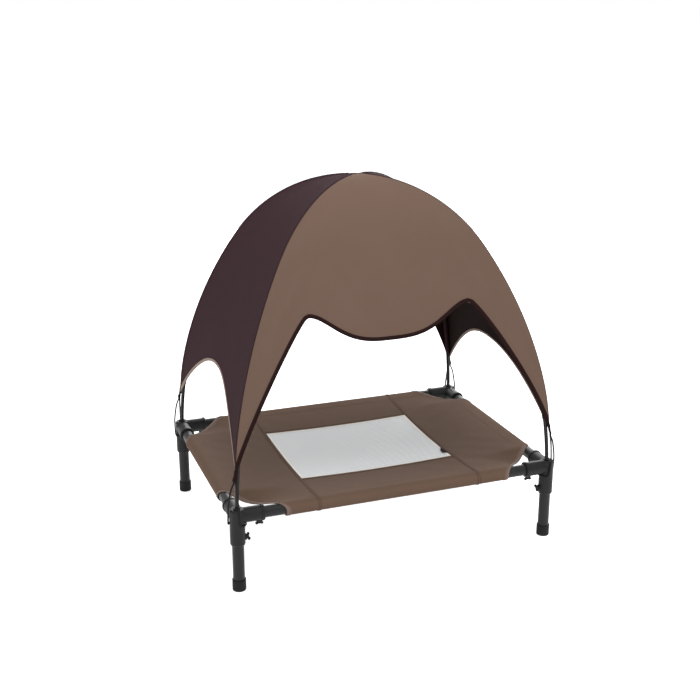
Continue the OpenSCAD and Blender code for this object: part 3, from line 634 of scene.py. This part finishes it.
class Arch:
    """A pole's three-centred arch of this height."""

    def __init__(self, height):
        self.height = height
        rise = height - CROWN_R
        sine = math.sin(POLE_LEAN)
        cosine = math.cos(POLE_LEAN)
        self.side_r = (SPAN ** 2 + rise ** 2 - CROWN_R ** 2) / (2 * (SPAN * cosine - CROWN_R - rise * sine))
        self.turn = math.atan2(rise + self.side_r * sine, self.side_r * cosine - SPAN)
        self.side_l = self.side_r * (self.turn - POLE_LEAN)
        self.length = self.side_l + CROWN_R * (math.pi / 2 - self.turn)

    def at(self, place):
        """Out, up and turn of the line this far along it from the springing line."""
        place = np.asarray(place, dtype=float)
        side = POLE_LEAN + place / self.side_r
        crown = self.turn + (place - self.side_l) / CROWN_R
        low = place < self.side_l
        side_out = SPAN - self.side_r * (math.cos(POLE_LEAN) - np.cos(side))
        side_up = self.side_r * (np.sin(side) - math.sin(POLE_LEAN))
        out = np.where(low, side_out, CROWN_R * np.cos(crown))
        up = np.where(low, side_up, self.height - CROWN_R + CROWN_R * np.sin(crown))
        return out, up, np.where(low, side, crown)

    def reach(self, height):
        """Distance along the line to a height on its side."""
        share = np.asarray(height, dtype=float) / self.side_r
        return self.side_r * (np.arcsin(share + math.sin(POLE_LEAN)) - POLE_LEAN)


ARCH = Arch(ARCH_H)


def ease(share):
    """A soft start and a soft end."""
    return share * share * (3 - 2 * share)


def edge_height(side, u):
    """Height of a gore's lower edge above the springing line."""
    u = np.asarray(u, dtype=float)
    if side in SHORT_SIDES:
        return SIDE_ARCH - (SIDE_ARCH - TIP_RISE) * u * u
    top = PEAK_X / (HALF_L * ARCH.at(ARCH.reach(VALANCE_PEAK))[0] / SPAN)
    v = np.abs(u)
    inside = VALANCE_DIP + (VALANCE_PEAK - VALANCE_DIP) * ease(np.minimum(v / top, 1) ** VALANCE_EASE)
    beyond = np.clip((v - top) / (1 - top), 0, 1) ** VALANCE_FALL
    outside = VALANCE_PEAK - (VALANCE_PEAK - TIP_RISE) * beyond
    return np.where(v < top, inside, outside)


def ripple(side, u, place, low):
    """Slight fullness of the cloth, fading up from the free edge and to the ridges."""
    phase = PHASE[side]
    edge = EDGE_RIPPLE * np.sin(7.5 * u + phase) * np.exp(-(place - low) / RIPPLE_FADE)
    body = BODY_RIPPLE * np.sin(4.1 * u + 13.0 * place + phase) * np.sin(9.0 * place - 2.0 * u)
    return (1 - u * u) * (edge + body)


def gore_points(side, u, place, lift=0.0):
    """Points of a gore: u across it from ridge to ridge, place along the arch, lift off its outer face."""
    u, place, lift = np.broadcast_arrays(*(np.asarray(given, dtype=float) for given in (u, place, lift)))
    out, up, turn = ARCH.at(place)
    share = out / SPAN
    low = ARCH.reach(edge_height(side, u))
    tip = float(ARCH.reach(TIP_RISE))
    off = CANOPY_OUT + lift + ripple(side, u, place, low) - TIP_HUG * np.exp(-((place - tip) / TIP_FADE) ** 2)
    most = FRONT_DRAW if side in LONG_SIDES else SIDE_DRAW
    share_up = (place - low) / (ARCH.length - low)
    draw = most * (1 - u * u) * np.cos(math.pi / 2 * share_up) * np.cos(turn)
    long_half = (HALF_L + off) * share
    short_half = (HALF_W + off) * share
    height = SPRING_Z + up * (1 + off / ARCH_H) - draw * np.sin(turn)
    if side in LONG_SIDES:
        points = np.stack([u * long_half, draw * np.cos(turn) - short_half, height], axis=-1)
    else:
        points = np.stack([draw * np.cos(turn) - long_half, -u * short_half, height], axis=-1)
    return turned(points, side in ("back", "right"))


def gore_outward(side, u, place):
    """Outward directions of a gore's face."""
    across = gore_points(side, u + PROBE, place) - gore_points(side, u - PROBE, place)
    along = gore_points(side, u, place + PROBE) - gore_points(side, u, place - PROBE)
    facing = unit(np.cross(across, along))
    rough = gore_points(side, u, place, PROBE) - gore_points(side, u, place)
    return facing * np.sign(np.sum(facing * rough, axis=-1, keepdims=True))


def gore(side):
    """One gore as a curved sheet whose inner face is coloured near black as painted shade, from its bound
    edge up to the apex.
    """
    u = np.linspace(-1, 1, GORE_COLS)
    low = ARCH.reach(edge_height(side, u) + TAPE_T)
    place = low + (ARCH.length - low) * np.linspace(0, 1, GORE_ROWS)[:, None]
    outer = gore_points(side, u, place)
    points, faces, flat = shell(outer, gore_points(side, u, place, -CLOTH_T))
    cells = (GORE_ROWS - 1) * (GORE_COLS - 1)
    # The inner faces take the second material, the painted shade.
    marks = np.repeat([0, 1, 0], [cells, cells, len(faces) - 2 * cells])
    cloth, slot = (LIGHT_CLOTH, "light_cloth") if side in LONG_SIDES else (DARK_CLOTH, "dark_cloth")
    piece = make_piece(f"canopy_gore_{side}", points, faces, flat, [cloth, INNER_FACE_SHADE], "canopy", slot,
                       [f"gore_{side}"], marks)
    return piece, outer


def edge_offset(side, u, width):
    """Where a line lies that runs this far up the cloth from a gore's edge, square to it: u and place."""
    rise = edge_height(side, u)

    def at(across, height):
        """A point of the gore's face."""
        return gore_points(side, across, ARCH.reach(height))

    by_u = (at(u + PROBE, rise) - at(u - PROBE, rise)) / (2 * PROBE)
    by_height = (at(u, rise + PROBE) - at(u, rise - PROBE)) / (2 * PROBE)
    slope = (edge_height(side, u + PROBE) - edge_height(side, u - PROBE)) / (2 * PROBE)
    along = by_u + slope[:, None] * by_height
    part_u = -np.sum(by_height * along, axis=1)
    part_height = np.sum(by_u * along, axis=1)
    length = np.linalg.norm(part_u[:, None] * by_u + part_height[:, None] * by_height, axis=1)
    moved_u = np.clip(u + width * part_u / length, -1, 1)
    return moved_u, ARCH.reach(rise + width * part_height / length)


def edge_tape(side):
    """The tape folded round a gore's free edge, and the thread that holds it."""
    if side in LONG_SIDES:
        width, tape, slot, thread = FRONT_TAPE, DARK_TAPE, "dark_tape", DARK_THREAD
    else:
        width, tape, slot, thread = SIDE_TAPE, LIGHT_TAPE, "light_tape", LIGHT_THREAD
    out = HAIR
    inn = -CLOTH_T - HAIR
    fold = [(0.0, TAPE_T), (0.0, width), (0.4, width + 0.0003), (0.8, width), (1.0, 0.6 * width),
            (1.0, 0.25 * width), (0.7, 0.0004)]
    section = [(out + share * TAPE_T, up) for share, up in fold] + [((out + inn) / 2, 0.0)]
    section += [(inn - share * TAPE_T, up) for share, up in reversed(fold)]
    u = np.linspace(-0.999, 0.999, 181)
    rings = np.stack([gore_points(side, *edge_offset(side, u, up), lift) for lift, up in section], axis=1)
    points, faces, places = tube(rings)
    piece = make_piece(f"edge_tape_{side}", points, faces, places * (2 * width, 1), [tape], "canopy", slot,
                       [f"binding_{side}"])
    sewn, place = edge_offset(side, np.linspace(-0.975, 0.975, 500), TAPE_SEWN * width)
    line = gore_points(side, sewn, place, out + 0.9 * TAPE_T)
    rows = [(line, gore_outward(side, sewn, place))]
    return [piece, make_stitches(f"edge_tape_thread_{side}", rows, thread, "canopy", slot)]


def ridge_seam(side, end):
    """The felled seam along one ridge, laid on the dark gore, with two rows of thread."""
    start = float(ARCH.reach(TIP_RISE)) + RIDGE_FOOT
    place = np.linspace(start, ARCH.length - RIDGE_HEAD, 90)
    half = (HALF_W + CANOPY_OUT) * ARCH.at(place)[0] / SPAN
    reach = np.minimum(SEAM_W, 0.5 * half) / half
    shares = np.array([0.0, 0.06, 0.5, 0.92, 1.0])
    lifts = np.array([0.0003, 0.0009, 0.0010, 0.0009, 0.0001])
    u = end * (1 - reach[:, None] * shares)
    outer = gore_points(side, u, place[:, None], lifts)
    inner = gore_points(side, u, place[:, None], -HAIR)
    corner = "front" if (end > 0) == (side == "left") else "back"
    seam = make_piece(f"ridge_seam_{corner}_{side}", *shell(outer, inner), [DARK_CLOTH], "canopy",
                      "dark_cloth")
    rows = []
    for share in (0.2, 0.8):
        sewn = end * (1 - reach * share)
        rows.append((gore_points(side, sewn, place, lifts.max()), gore_outward(side, sewn, place)))
    return [seam, make_stitches(f"ridge_thread_{corner}_{side}", rows, DARK_THREAD, "canopy", "dark_cloth")]


def pole_sleeves(pole):
    """Four cloth sleeves along a pole on its diagonal, each a turned-in tube with slight puckers."""
    drop, sign = (POLE_DROP, 1) if pole == "b" else (0.0, -1)
    arch = Arch(ARCH_H - drop)
    last = arch.side_l + CROWN_R * (math.acos(POLE_SLEEVE_STOP / CROWN_R) - arch.turn)
    spans = [(float(arch.reach(POLE_SLEEVE_START)), arch.side_l - HAIR), (arch.side_l + HAIR, last)]
    parts = []
    for first, final in spans:
        places = np.linspace(first, final, 60)
        pucker = PUCKER * np.sin(places * PUCKER_WAVES)
        hem = HAIR * (np.minimum(places - first, final - places) < POLE_SLEEVE_HEM)
        out, up, _ = arch.at(places)
        line = np.stack([sign * HALF_L / SPAN * out, -HALF_W / SPAN * out, SPRING_Z + up], axis=-1)
        outer = rings_along(line, POLE_SLEEVE_OUT + pucker + hem, 14)
        inner = rings_along(line, POLE_SLEEVE_IN, 14)
        points, faces, flat = tube(np.concatenate([outer, inner[::-1]]), closed=True)
        parts += [(turned(points, half_turn), faces, flat) for half_turn in (False, True)]
    make_piece(f"pole_sleeve_set_{pole}", *joined(parts), [DARK_CLOTH], "canopy", "dark_cloth",
               [f"pole_sleeves_{pole}"])


# The sheet


def corner_drop(x, y):
    """How far a cut corner's free edge hangs, less at the back, fading to the rails and the mesh's seams."""
    share = np.clip((HALF_W - np.abs(y)) / SHORT_SLEEVE_END, 0, 1)
    cut = HALF_L - LONG_SLEEVE_END * (1 - share)
    outward = np.clip((np.abs(x) - MESH_L / 2) / (cut - MESH_L / 2), 0, 1)
    drop = CORNER_DROP * (4 * share * (1 - share)) ** 1.3 * outward ** 2 * (0.5 + share)
    return drop * np.where(np.asarray(y) > 0, BACK_HANG, 1.0)


def sheet_height(x, y):
    """Height of the sheet's upper face: level at the rails, sagging in the middle, with faint drag lines."""
    level = RAIL_Z + SLEEVE_OUT
    bowl = (1 - (x / HALF_L) ** 2) * (1 - (y / HALF_W) ** 2)
    slant = np.abs(x) / HALF_L - np.abs(y) / HALF_W
    near = np.exp(-((np.abs(x) + np.abs(y) - DRAG_AT) / DRAG_REACH) ** 2)
    drag = DRAG * np.sin(DRAG_WAVES * slant) * near
    return level - SHEET_SAG * bowl - corner_drop(x, y) + drag * np.sqrt(np.clip(bowl, 0, 1))


def sheet_pair(x, y):
    """Upper and lower face of the sheet."""
    x, y = np.broadcast_arrays(np.asarray(x, float), np.asarray(y, float))
    top = np.stack([x, y, sheet_height(x, y)], axis=-1)
    return top, top - (0, 0, CLOTH_T)


def wrap_slack(angle):
    """How far a sleeve hangs off its rail: none on top, most below."""
    return SLEEVE_SLACK * (1 - np.sin(angle)) / 2


def wrap_angle(step):
    """Angle round the rail at a step of the wrap, from the top over the outside."""
    return math.pi / 2 - WRAP_TURN * np.minimum(step, WRAP_STEPS) / WRAP_STEPS


def sleeve_end(top, angle):
    """How far from the corner a sleeve ends: the cut slants on over the rail's top, then runs down."""
    return top + SLEEVE_SLANT * np.where(angle > 0, np.cos(angle), 1.0)


def by_rail(kind, along, out, height):
    """Points along the long front or the short left rail, this far out from its axis and up."""
    along, edge, height = np.broadcast_arrays(along, -(HALF_W if kind == "long" else HALF_L) - out, height)
    return np.stack([along, edge, height] if kind == "long" else [edge, along, height], axis=-1)


def wrap_pair(kind, along, step):
    """Outer and inner face of a sleeve round the long front or the short left rail, at a step of the wrap."""
    along = np.asarray(along, dtype=float)
    angle = wrap_angle(step)
    pair = []
    for thick in (CLOTH_T, 0.0):
        reach = SLEEVE_IN + thick + wrap_slack(angle)
        face = by_rail(kind, along, reach * math.cos(angle), RAIL_Z + reach * math.sin(angle))
        if step > WRAP_STEPS:
            face = by_rail(kind, along, -FLAP_L, 0.0)
            face[:, 2] = sheet_height(face[:, 0], face[:, 1]) - CLOTH_T - thick - GAP
        pair.append(face)
    return pair


def front_strip(side):
    """The strip between the mesh and the front or back rail, with its sleeve."""
    x = np.linspace(-MESH_L / 2, MESH_L / 2, 60)
    pairs = [wrap_pair("long", x, step) for step in range(WRAP_STEPS + 1, 0, -1)]
    pairs += [sheet_pair(x, y) for y in np.linspace(-HALF_W, -MESH_W / 2, 20)]
    outer, inner = np.array(pairs).swapaxes(0, 1)
    points, faces, flat = shell(outer, inner)
    piece = make_piece(f"sheet_strip_{side}", turned(points, side == "back"), faces, flat, [SHEET_CLOTH],
                       "frame", "sheet_cloth", [f"sheet_{side}"])
    return piece, outer


def corner_point(share):
    """Point of the cut front left corner, from the front rail at 0 to the left rail at 1."""
    start = np.array([LONG_SLEEVE_END - HALF_L, -HALF_W])
    along = np.array([-HALF_L, SHORT_SLEEVE_END - HALF_W]) - start
    inward = np.array([-along[1], along[0]]) / np.linalg.norm(along)
    return start + along * share - inward * CORNER_HOLLOW * 4 * share * (1 - share)


def side_panel(side):
    """The panel between a mesh seam and the left or right rail, with three sleeves and two cut corners."""
    shares = np.linspace(0, 1, PANEL_COLS)
    seam = -MESH_L / 2
    front = []
    for step in range(WRAP_STEPS + 1, 0, -1):
        end = sleeve_end(LONG_SLEEVE_END, wrap_angle(step)) - HALF_L
        front.append(wrap_pair("long", seam + (end - seam) * shares, step))
    for share in np.linspace(0, 1, 18, endpoint=False):
        start = np.array([seam, SHORT_SLEEVE_END * share - HALF_W])
        line = start + (corner_point(share) - start) * shares[:, None]
        front.append(sheet_pair(line[:, 0], line[:, 1]))
    front = [[np.concatenate([face, np.repeat(face[-1:], WRAP_STEPS + 1, axis=0)]) for face in pair]
             for pair in front]
    middle = []
    half = HALF_W - SHORT_SLEEVE_END
    for y in np.linspace(-half, half, 40):
        rows = [sheet_pair(seam + (-HALF_L - seam) * shares, y)]
        for step in range(1, WRAP_STEPS + 2):
            place = y * (HALF_W - sleeve_end(SHORT_SLEEVE_END, wrap_angle(step))) / half
            rows.append(wrap_pair("short", [place], step))
        middle.append([np.concatenate(faces) for faces in zip(*rows)])
    back = [[face * (1, -1, 1) for face in pair] for pair in reversed(front)]
    outer, inner = np.array(front + middle + back).swapaxes(0, 1)
    kept = np.zeros((outer.shape[0] - 1, outer.shape[1] - 1), dtype=bool)
    kept[:, :PANEL_COLS - 1] = True
    kept[len(front):len(front) + len(middle) - 1, :] = True
    points, faces, flat = shell(outer, inner, kept)
    points = turned(points, side == "right")
    x, y, height = points.T
    height += corner_drop(x, -np.abs(y)) - corner_drop(x, y)
    piece = make_piece(f"sheet_panel_{side}", points, faces, flat, [SHEET_CLOTH], "frame", "sheet_cloth",
                       [f"sheet_{side}"])
    return piece, outer


def mesh_panel():
    """The breathable mesh in the middle of the sheet."""
    x = np.linspace(-MESH_L / 2, MESH_L / 2, 60)
    y = np.linspace(-MESH_W / 2, MESH_W / 2, 50)
    top, below = sheet_pair(x, y[:, None])
    return make_piece("mesh_insert", *shell(top - HAIR / 2 * UP, below + GAP * UP), [MESH], "frame", "mesh",
                      ["mesh_panel"])


def laid_strip(rows, outward, lift):
    """A folded strip laid on a face: rows of points across it, raised along their outward directions."""
    crown = np.concatenate([[0.2, 0.9], np.ones(rows.shape[1] - 4), [0.9, 0.2]])
    return shell(rows + outward * (lift * crown)[:, None], rows - outward * HAIR)


def raised(line, outward, lift):
    """A line lifted off its face, for a row of thread on a strip."""
    return line + outward * lift, outward


def sewn_strip(name, cloth, rows, lift, *sewn):
    """A folded strip laid on the sheet, as one piece, and the rows of thread that lie on it."""
    strip = make_piece(name, *laid_strip(*rows, lift), [cloth], "frame", "sheet_cloth")
    return strip, [raised(*row, lift) for row in sewn]


def side_by_side(lines):
    """Lines of (points, outward directions) as the rows of a strip."""
    return [np.stack(part, axis=1) for part in zip(*lines)]


def on_sheet(x, y):
    """A line or rows on the sheet's upper face, with upward directions."""
    points = sheet_pair(x, y)[0]
    return points, np.broadcast_to(UP, points.shape)


def round_rail(kind, place, angles):
    """Points and outward directions on the sleeve round the long front or the short left rail, at a place."""
    out = np.cos(angles)
    up = np.sin(angles)
    still = np.zeros(len(angles))
    reach = SLEEVE_OUT + wrap_slack(angles)
    outward = [still, -out, up] if kind == "long" else [-out, still, up]
    return by_rail(kind, place, reach * out, RAIL_Z + reach * up), np.stack(outward, axis=1)


def over_sheet(x):
    """A line over the sheet at x, from under the front rail to under the back rail, with its directions."""
    wrap, facing = round_rail("long", x, wrap_angle(np.arange(15, 0, -1)))
    top, up = on_sheet(x, np.linspace(-HALF_W, HALF_W, 90))
    line = np.concatenate([wrap, top, wrap[::-1] * (1, -1, 1)])
    return line, np.concatenate([facing, up, facing[::-1] * (1, -1, 1)])


def panel_seam(side):
    """The felled seam between the mesh and a side panel, over both rails, and its two rows of thread."""
    sign = 1 if side == "right" else -1
    lines = [over_sheet(sign * (MESH_L / 2 + w)) for w in np.linspace(0.0, SEAM_W, 7)]
    sewn = [over_sheet(sign * (MESH_L / 2 + w)) for w in (SEAM_SEWN_NEAR, SEAM_SEWN)]
    return sewn_strip(f"panel_seam_{side}", SHEET_CLOTH, side_by_side(lines), STRIP_T, *sewn)


def mesh_edge_fold(side):
    """The folded edge of the front or back strip where the mesh is sewn to it, and its row of thread."""
    sign = 1 if side == "back" else -1
    x = np.linspace(-MESH_L / 2, MESH_L / 2, 70)
    y = sign * (MESH_W / 2 + np.linspace(0.0, SEAM_W, 7))
    sewn = on_sheet(x, sign * (MESH_W / 2 + SEAM_SEWN))
    return sewn_strip(f"mesh_edge_fold_{side}", SHEET_CLOTH, on_sheet(x[:, None], y), FOLD_T, sewn)


def mesh_edge_tape():
    """The pale tape round the mesh's edge, under its row of slanting stitches."""
    insets = np.linspace(HAIR / 2, MESH_TAPE_W, 7)
    x = np.linspace(-MESH_L / 2, MESH_L / 2, 70)
    half_y = MESH_W / 2 - MESH_TAPE_W + HAIR
    y = np.linspace(-half_y, half_y, 60)
    turns = np.arange(-MESH_L / 2, MESH_L / 2, SLANT_STEP)
    sway = np.where(np.arange(len(turns)) % 2 == 0, -SLANT_IN, SLANT_OUT)
    parts = []
    slants = []
    for sign in (-1, 1):
        parts.append(laid_strip(*on_sheet(x[:, None], sign * (MESH_W / 2 - insets)), MESH_TAPE_T))
        parts.append(laid_strip(*on_sheet(sign * (MESH_L / 2 - insets), y[:, None]), MESH_TAPE_T))
        slants.append(raised(*on_sheet(turns, sign * (MESH_W / 2 + sway)), FOLD_T))
    tape = make_piece("mesh_edge_tape", *joined(parts), [PALE_TAPE], "frame", "mesh")
    slant = math.hypot(SLANT_STEP, SLANT_IN + SLANT_OUT)
    thread = make_stitches("mesh_edge_thread", slants, LIGHT_THREAD, "frame", "sheet_cloth", slant, 0.0004)
    return [tape, thread]


def corner_hem(corner):
    """The turned hem of a cut corner, coloured paler as a painted highlight, and its row of thread."""
    signs = -np.array(CORNERS[corner])
    edge = np.array([corner_point(share) for share in np.linspace(0.0, 1.0, 30)])
    heading = unit(np.gradient(edge, axis=0))
    inward = np.stack([heading[:, 1], -heading[:, 0]], axis=1)
    inward = inward * np.sign(np.sum(inward * -edge, axis=1, keepdims=True))
    rows = (edge[:, None, :] + inward[:, None, :] * np.linspace(0.0, HEM_W, 7)[:, None]) * signs
    sewn = (edge + inward * HEM_SEWN) * signs
    return sewn_strip(f"corner_hem_{corner}", HEM_HIGHLIGHT_CLOTH, on_sheet(rows[..., 0], rows[..., 1]), STRIP_T,
                      on_sheet(sewn[:, 0], sewn[:, 1]))


def sleeve_hem(corner, kind):
    """The turned hem at a sleeve's end on a long or short rail, coloured paler as a painted highlight, and
    its row of thread.
    """
    across, depth = CORNERS[corner]
    angles = wrap_angle(np.arange(0, WRAP_STEPS + 1))
    top, half = (LONG_SLEEVE_END, HALF_L) if kind == "long" else (SHORT_SLEEVE_END, HALF_W)
    start = sleeve_end(top, angles) - half

    def ring(inset):
        """Points and directions round the sleeve, this far in from its end."""
        return [part * (-across, -depth, 1) for part in round_rail(kind, start + inset, angles)]

    rings = [ring(inset) for inset in np.linspace(0.0, HEM_W, 7)]
    return sewn_strip(f"sleeve_hem_{kind}_{corner}", HEM_HIGHLIGHT_CLOTH, side_by_side(rings), FOLD_T, ring(HEM_SEWN))


def sleeve_threads():
    """The rows of thread that close the four sleeves under the sheet."""
    half_x = HALF_L - LONG_SLEEVE_END - LONG_ROW_IN
    half_y = HALF_W - SHORT_SLEEVE_END - SHORT_ROW_IN
    rows = []
    for sign in (-1, 1):
        for sewn in SLEEVE_SEWN:
            inset = FLAP_L - sewn
            rows.append(on_sheet(np.linspace(-half_x, half_x, 120), sign * (HALF_W - inset)))
            rows.append(on_sheet(sign * (HALF_L - inset), np.linspace(-half_y, half_y, 90)))
    return rows


def elastic_loop(corner):
    """The elastic cord from a tip tab round the connector's leg socket and back up to the tab."""
    across, depth = CORNERS[corner]
    low = [(LOOP_R * math.cos(a), LOOP_R * math.sin(a), LOOP_Z) for a in np.radians([45, 15, -15, -45, -70])]
    half = np.array(low + LOOP_RISE)
    path = np.concatenate([half[::-1, [1, 0, 2]], half[1:]])
    path[:, 0] = across * HALF_L - across * path[:, 0]
    path[:, 1] = depth * HALF_W - depth * path[:, 1]
    rings = rings_along(smooth_line(path, 5), CORD_R, 10)
    piece = make_piece(f"elastic_cord_{corner}", *tube(rings), [ELASTIC_BRAID], None, "elastic_cord",
                       [f"elastic_loop_{corner}"])
    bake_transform(piece)


def tip_tab(corner):
    """The webbing tab folded round the elastic's ends, wrapped over a canopy tip and tacked across."""
    across, depth = CORNERS[corner]
    low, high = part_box(f"tip_tab_{corner}")
    outward = np.array([across, depth, 0.0]) / math.sqrt(2)
    along = np.array([-depth, across, 0.0]) / math.sqrt(2)
    place = ARCH.reach(TIP_RISE + np.array([0.0008, 0.0045, 0.0085, 0.012]))
    ridge = gore_points("front", -1.0, place, TAPE_T + GAP) * (-across, -depth, 1)
    ridge = ridge + 0.0006 * outward
    foot = np.array([(low.x + high.x) / 2, (low.y + high.y) / 2, low.z])
    hung = foot + np.array([[0.0016], [0.004], [0.007]]) * UP
    between = 0.4 * hung[-1:] + 0.6 * ridge[:1] - 0.002 * UP
    middle = np.concatenate([hung, between, ridge])
    half = np.array([0.0017, 0.0015, 0.00125, 0.0010, 0.0006, 0.0005, 0.0005, 0.00045])
    wrap = np.array([0.0, 0.05, 0.25, 0.6, 0.9, 1.0, 1.0, 1.0])
    levels = np.arange(len(middle))

    def at(level, share, off):
        """A point this far up the tab, across it and off its middle, as shares of its own size."""
        centre = np.array([np.interp(level, levels, middle[:, k]) for k in range(3)])
        bend = np.interp(level, levels, wrap) * TIP_TAB_W * (math.hypot(share, 0.07) - 0.07)
        return centre + along * TIP_TAB_W * share + outward * (off * np.interp(level, levels, half) - bend)

    rings = []
    for share in (-0.5, -0.47, -0.36, -0.24, -0.12, 0.0, 0.12, 0.24, 0.36, 0.47, 0.5):
        slim = 0.6 if abs(share) == 0.5 else 1.0
        ring = [at(level, share, slim) for level in levels[::-1]]
        ring += [at(0, share, slim * math.cos(a)) - half[0] * math.sin(a) * UP
                 for a in np.linspace(0, math.pi, 9)[1:-1]]
        ring += [at(level, share, -slim) for level in levels]
        rings.append(ring)
    points, faces, places = tube(rings)
    make_piece(f"tip_webbing_{corner}", points, faces, places * (0.03, 1.0), [DARK_TAPE], "canopy",
               "dark_tape", [f"tip_tab_{corner}"])
    rows = []
    for level in (2.4, 4.6, 5.4, 6.4):
        line = np.array([at(level, share, 1.0) for share in np.linspace(-0.43, 0.43, 15)])
        rows.append((line, np.broadcast_to(outward, line.shape)))
    make_stitches(f"tip_thread_{corner}", rows, DARK_THREAD, "canopy", "dark_tape", 0.0022, 0.0003)


def seam_tab():
    """The small bare tab sewn into the mesh's right seam, with slanted ends and an overlocked edge."""
    low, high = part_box("seam_tab")
    spans = [np.linspace(0, 0.2, 6), np.linspace(0.2, 0.5, 6)[1:], np.linspace(0.5, 1, 12)[1:]]
    share = np.concatenate(spans)
    reach = (high.x - low.x) * np.interp(share, (0, 0.2, 0.5, 1), (0.2, 1, 1, 0.2))
    y = low.y + (high.y - low.y) * share
    out = np.linspace(0, 1, 9)
    top, _ = sheet_pair(high.x - reach[:, None] * out, y[:, None])
    face = top + (SEAM_TAB_LIFT + SEAM_TAB_CURL * out ** 2)[:, None] * UP
    make_piece("seam_tab_cloth", *shell(face, face - CLOTH_T * UP), [DARK_TAPE], "frame", "dark_tape",
               ["seam_tab"])
    edge = face[:, -1] - 0.0004 * UP
    rows = [(edge, np.broadcast_to(UP, edge.shape))]
    make_stitches("seam_tab_thread", rows, DARK_THREAD, "frame", "dark_tape", 0.0011, 0.0008)


# Canopy pieces
for side in SIDES:
    cloth, cut = gore(side)
    extras = edge_tape(side)
    if side in SHORT_SIDES:
        extras += ridge_seam(side, 1) + ridge_seam(side, -1)
for pole in ("a", "b"):
    pole_sleeves(pole)
for corner in CORNERS:
    tip_tab(corner)
    elastic_loop(corner)

# Sheet pieces
strips = {side: front_strip(side) for side in LONG_SIDES}
panels = {side: side_panel(side) for side in SHORT_SIDES}
insert = mesh_panel()
seam_tab()
trims = {side: [] for side in SIDES}
sewn_trims = [(side, panel_seam(side)) for side in SHORT_SIDES]
sewn_trims += [(side, mesh_edge_fold(side)) for side in LONG_SIDES]
for corner in CORNERS:
    hems = (corner_hem(corner), sleeve_hem(corner, "long"), sleeve_hem(corner, "short"))
    sewn_trims += [(corner.split("_")[1], hem) for hem in hems]
sheet_rows = []
for side, (strip, rows) in sewn_trims:
    trims[side].append(strip)
    sheet_rows += rows
mesh_trim = mesh_edge_tape()
# The sheet's seam and hem threads are dark so that their rows draw the shadow lines along the seams: real
# thread, painted shadow.
make_stitches("sheet_thread_painted_shadow", sheet_rows, DARK_THREAD, "frame", "sheet_cloth", thick=0.00048)
make_stitches("sleeve_thread", sleeve_threads(), LIGHT_THREAD, "frame", "sheet_cloth")

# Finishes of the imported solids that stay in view
FINISHES = {
    "leg_": TUBE_COAT,
    "rail_": TUBE_COAT,
    "foot_cap_": FOOT_RUBBER,
    "connector_": CONNECTOR_PLASTIC,
    "screw_": SCREW_PLASTIC,
    "pole_a_": POLE_COAT,
    "pole_b_": POLE_COAT,
    "ferrules_": FERRULE_METAL,
}
for name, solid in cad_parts.items():
    for start, finish in FINISHES.items():
        if name.startswith(start):
            solid.data.materials.clear()
            solid.data.materials.append(finish)


# Floor, light and camera
WHITE = (1.0, 1.0, 1.0, 1.0)
FLOOR_REACH = 30.0
FLOOR_GLOW = 0.62
SURROUND_GLOW = 0.86
LAMP_SIZE = 2.4


def make_floor():
    """A wide pale floor that shows white where no shadow falls."""
    mesh = bpy.data.meshes.new("floor")
    corners = [(x * FLOOR_REACH, y * FLOOR_REACH, 0.0) for x, y in ((-1, -1), (1, -1), (1, 1), (-1, 1))]
    mesh.from_pydata(corners, [], [(0, 1, 2, 3)])
    finish = Finish("Pale studio floor")
    finish.set(Base_Color=(0.9, 0.9, 0.9, 1.0), Roughness=0.9, Specular_IOR_Level=0.0, Emission_Color=WHITE,
               Emission_Strength=finish.calc("MULTIPLY", finish.in_view(), FLOOR_GLOW))
    mesh.materials.append(finish.material)
    add_object("floor", mesh)


def make_world():
    """A white surround that lights the cot at a plain level."""
    world = bpy.data.worlds.new("Studio")
    world.use_nodes = True
    nodes = Nodes(world.node_tree)
    glow = nodes.spread(nodes.in_view(), 0.0, 1.0, SURROUND_GLOW, 1.0)
    nodes.feed(nodes.tree.nodes["Background"].inputs, {"Color": WHITE, "Strength": glow})
    bpy.context.scene.world = world


def make_lamp(name, place, power):
    """A square soft lamp aimed at the cot's middle."""
    lamp = bpy.data.lights.new(name, "AREA")
    lamp.shape = "SQUARE"
    lamp.size = LAMP_SIZE
    lamp.energy = power
    holder = add_object(name, lamp)
    holder.location = place
    aim = np.array((0.0, 0.0, 0.35)) - np.array(place)
    tilt = math.atan2(math.hypot(aim[0], aim[1]), -aim[2])
    holder.rotation_euler = (tilt, 0.0, math.atan2(-aim[0], aim[1]))


def make_camera():
    """The photograph's camera, fitted to the cot's feet, corners and apex."""
    camera = bpy.data.cameras.new("camera")
    camera.sensor_width = 36.0
    camera.lens = 57.51
    holder = add_object("camera", camera)
    holder.location = (-0.86922, -2.29760, 1.20335)
    holder.rotation_euler = (math.radians(90 - 17.925), 0.0, math.radians(-20.358))
    bpy.context.scene.camera = holder


make_floor()
make_world()
make_lamp("key lamp", (-0.9, -3.0, 1.7), 11.0)
make_lamp("fill lamp", (2.6, -1.4, 1.5), 4.0)
make_lamp("top lamp", (0.1, -0.4, 3.2), 38.0)
make_lamp("back lamp", (1.2, 2.8, 1.1), 72.0)
make_camera()
bpy.context.scene.view_settings.view_transform = "Standard"
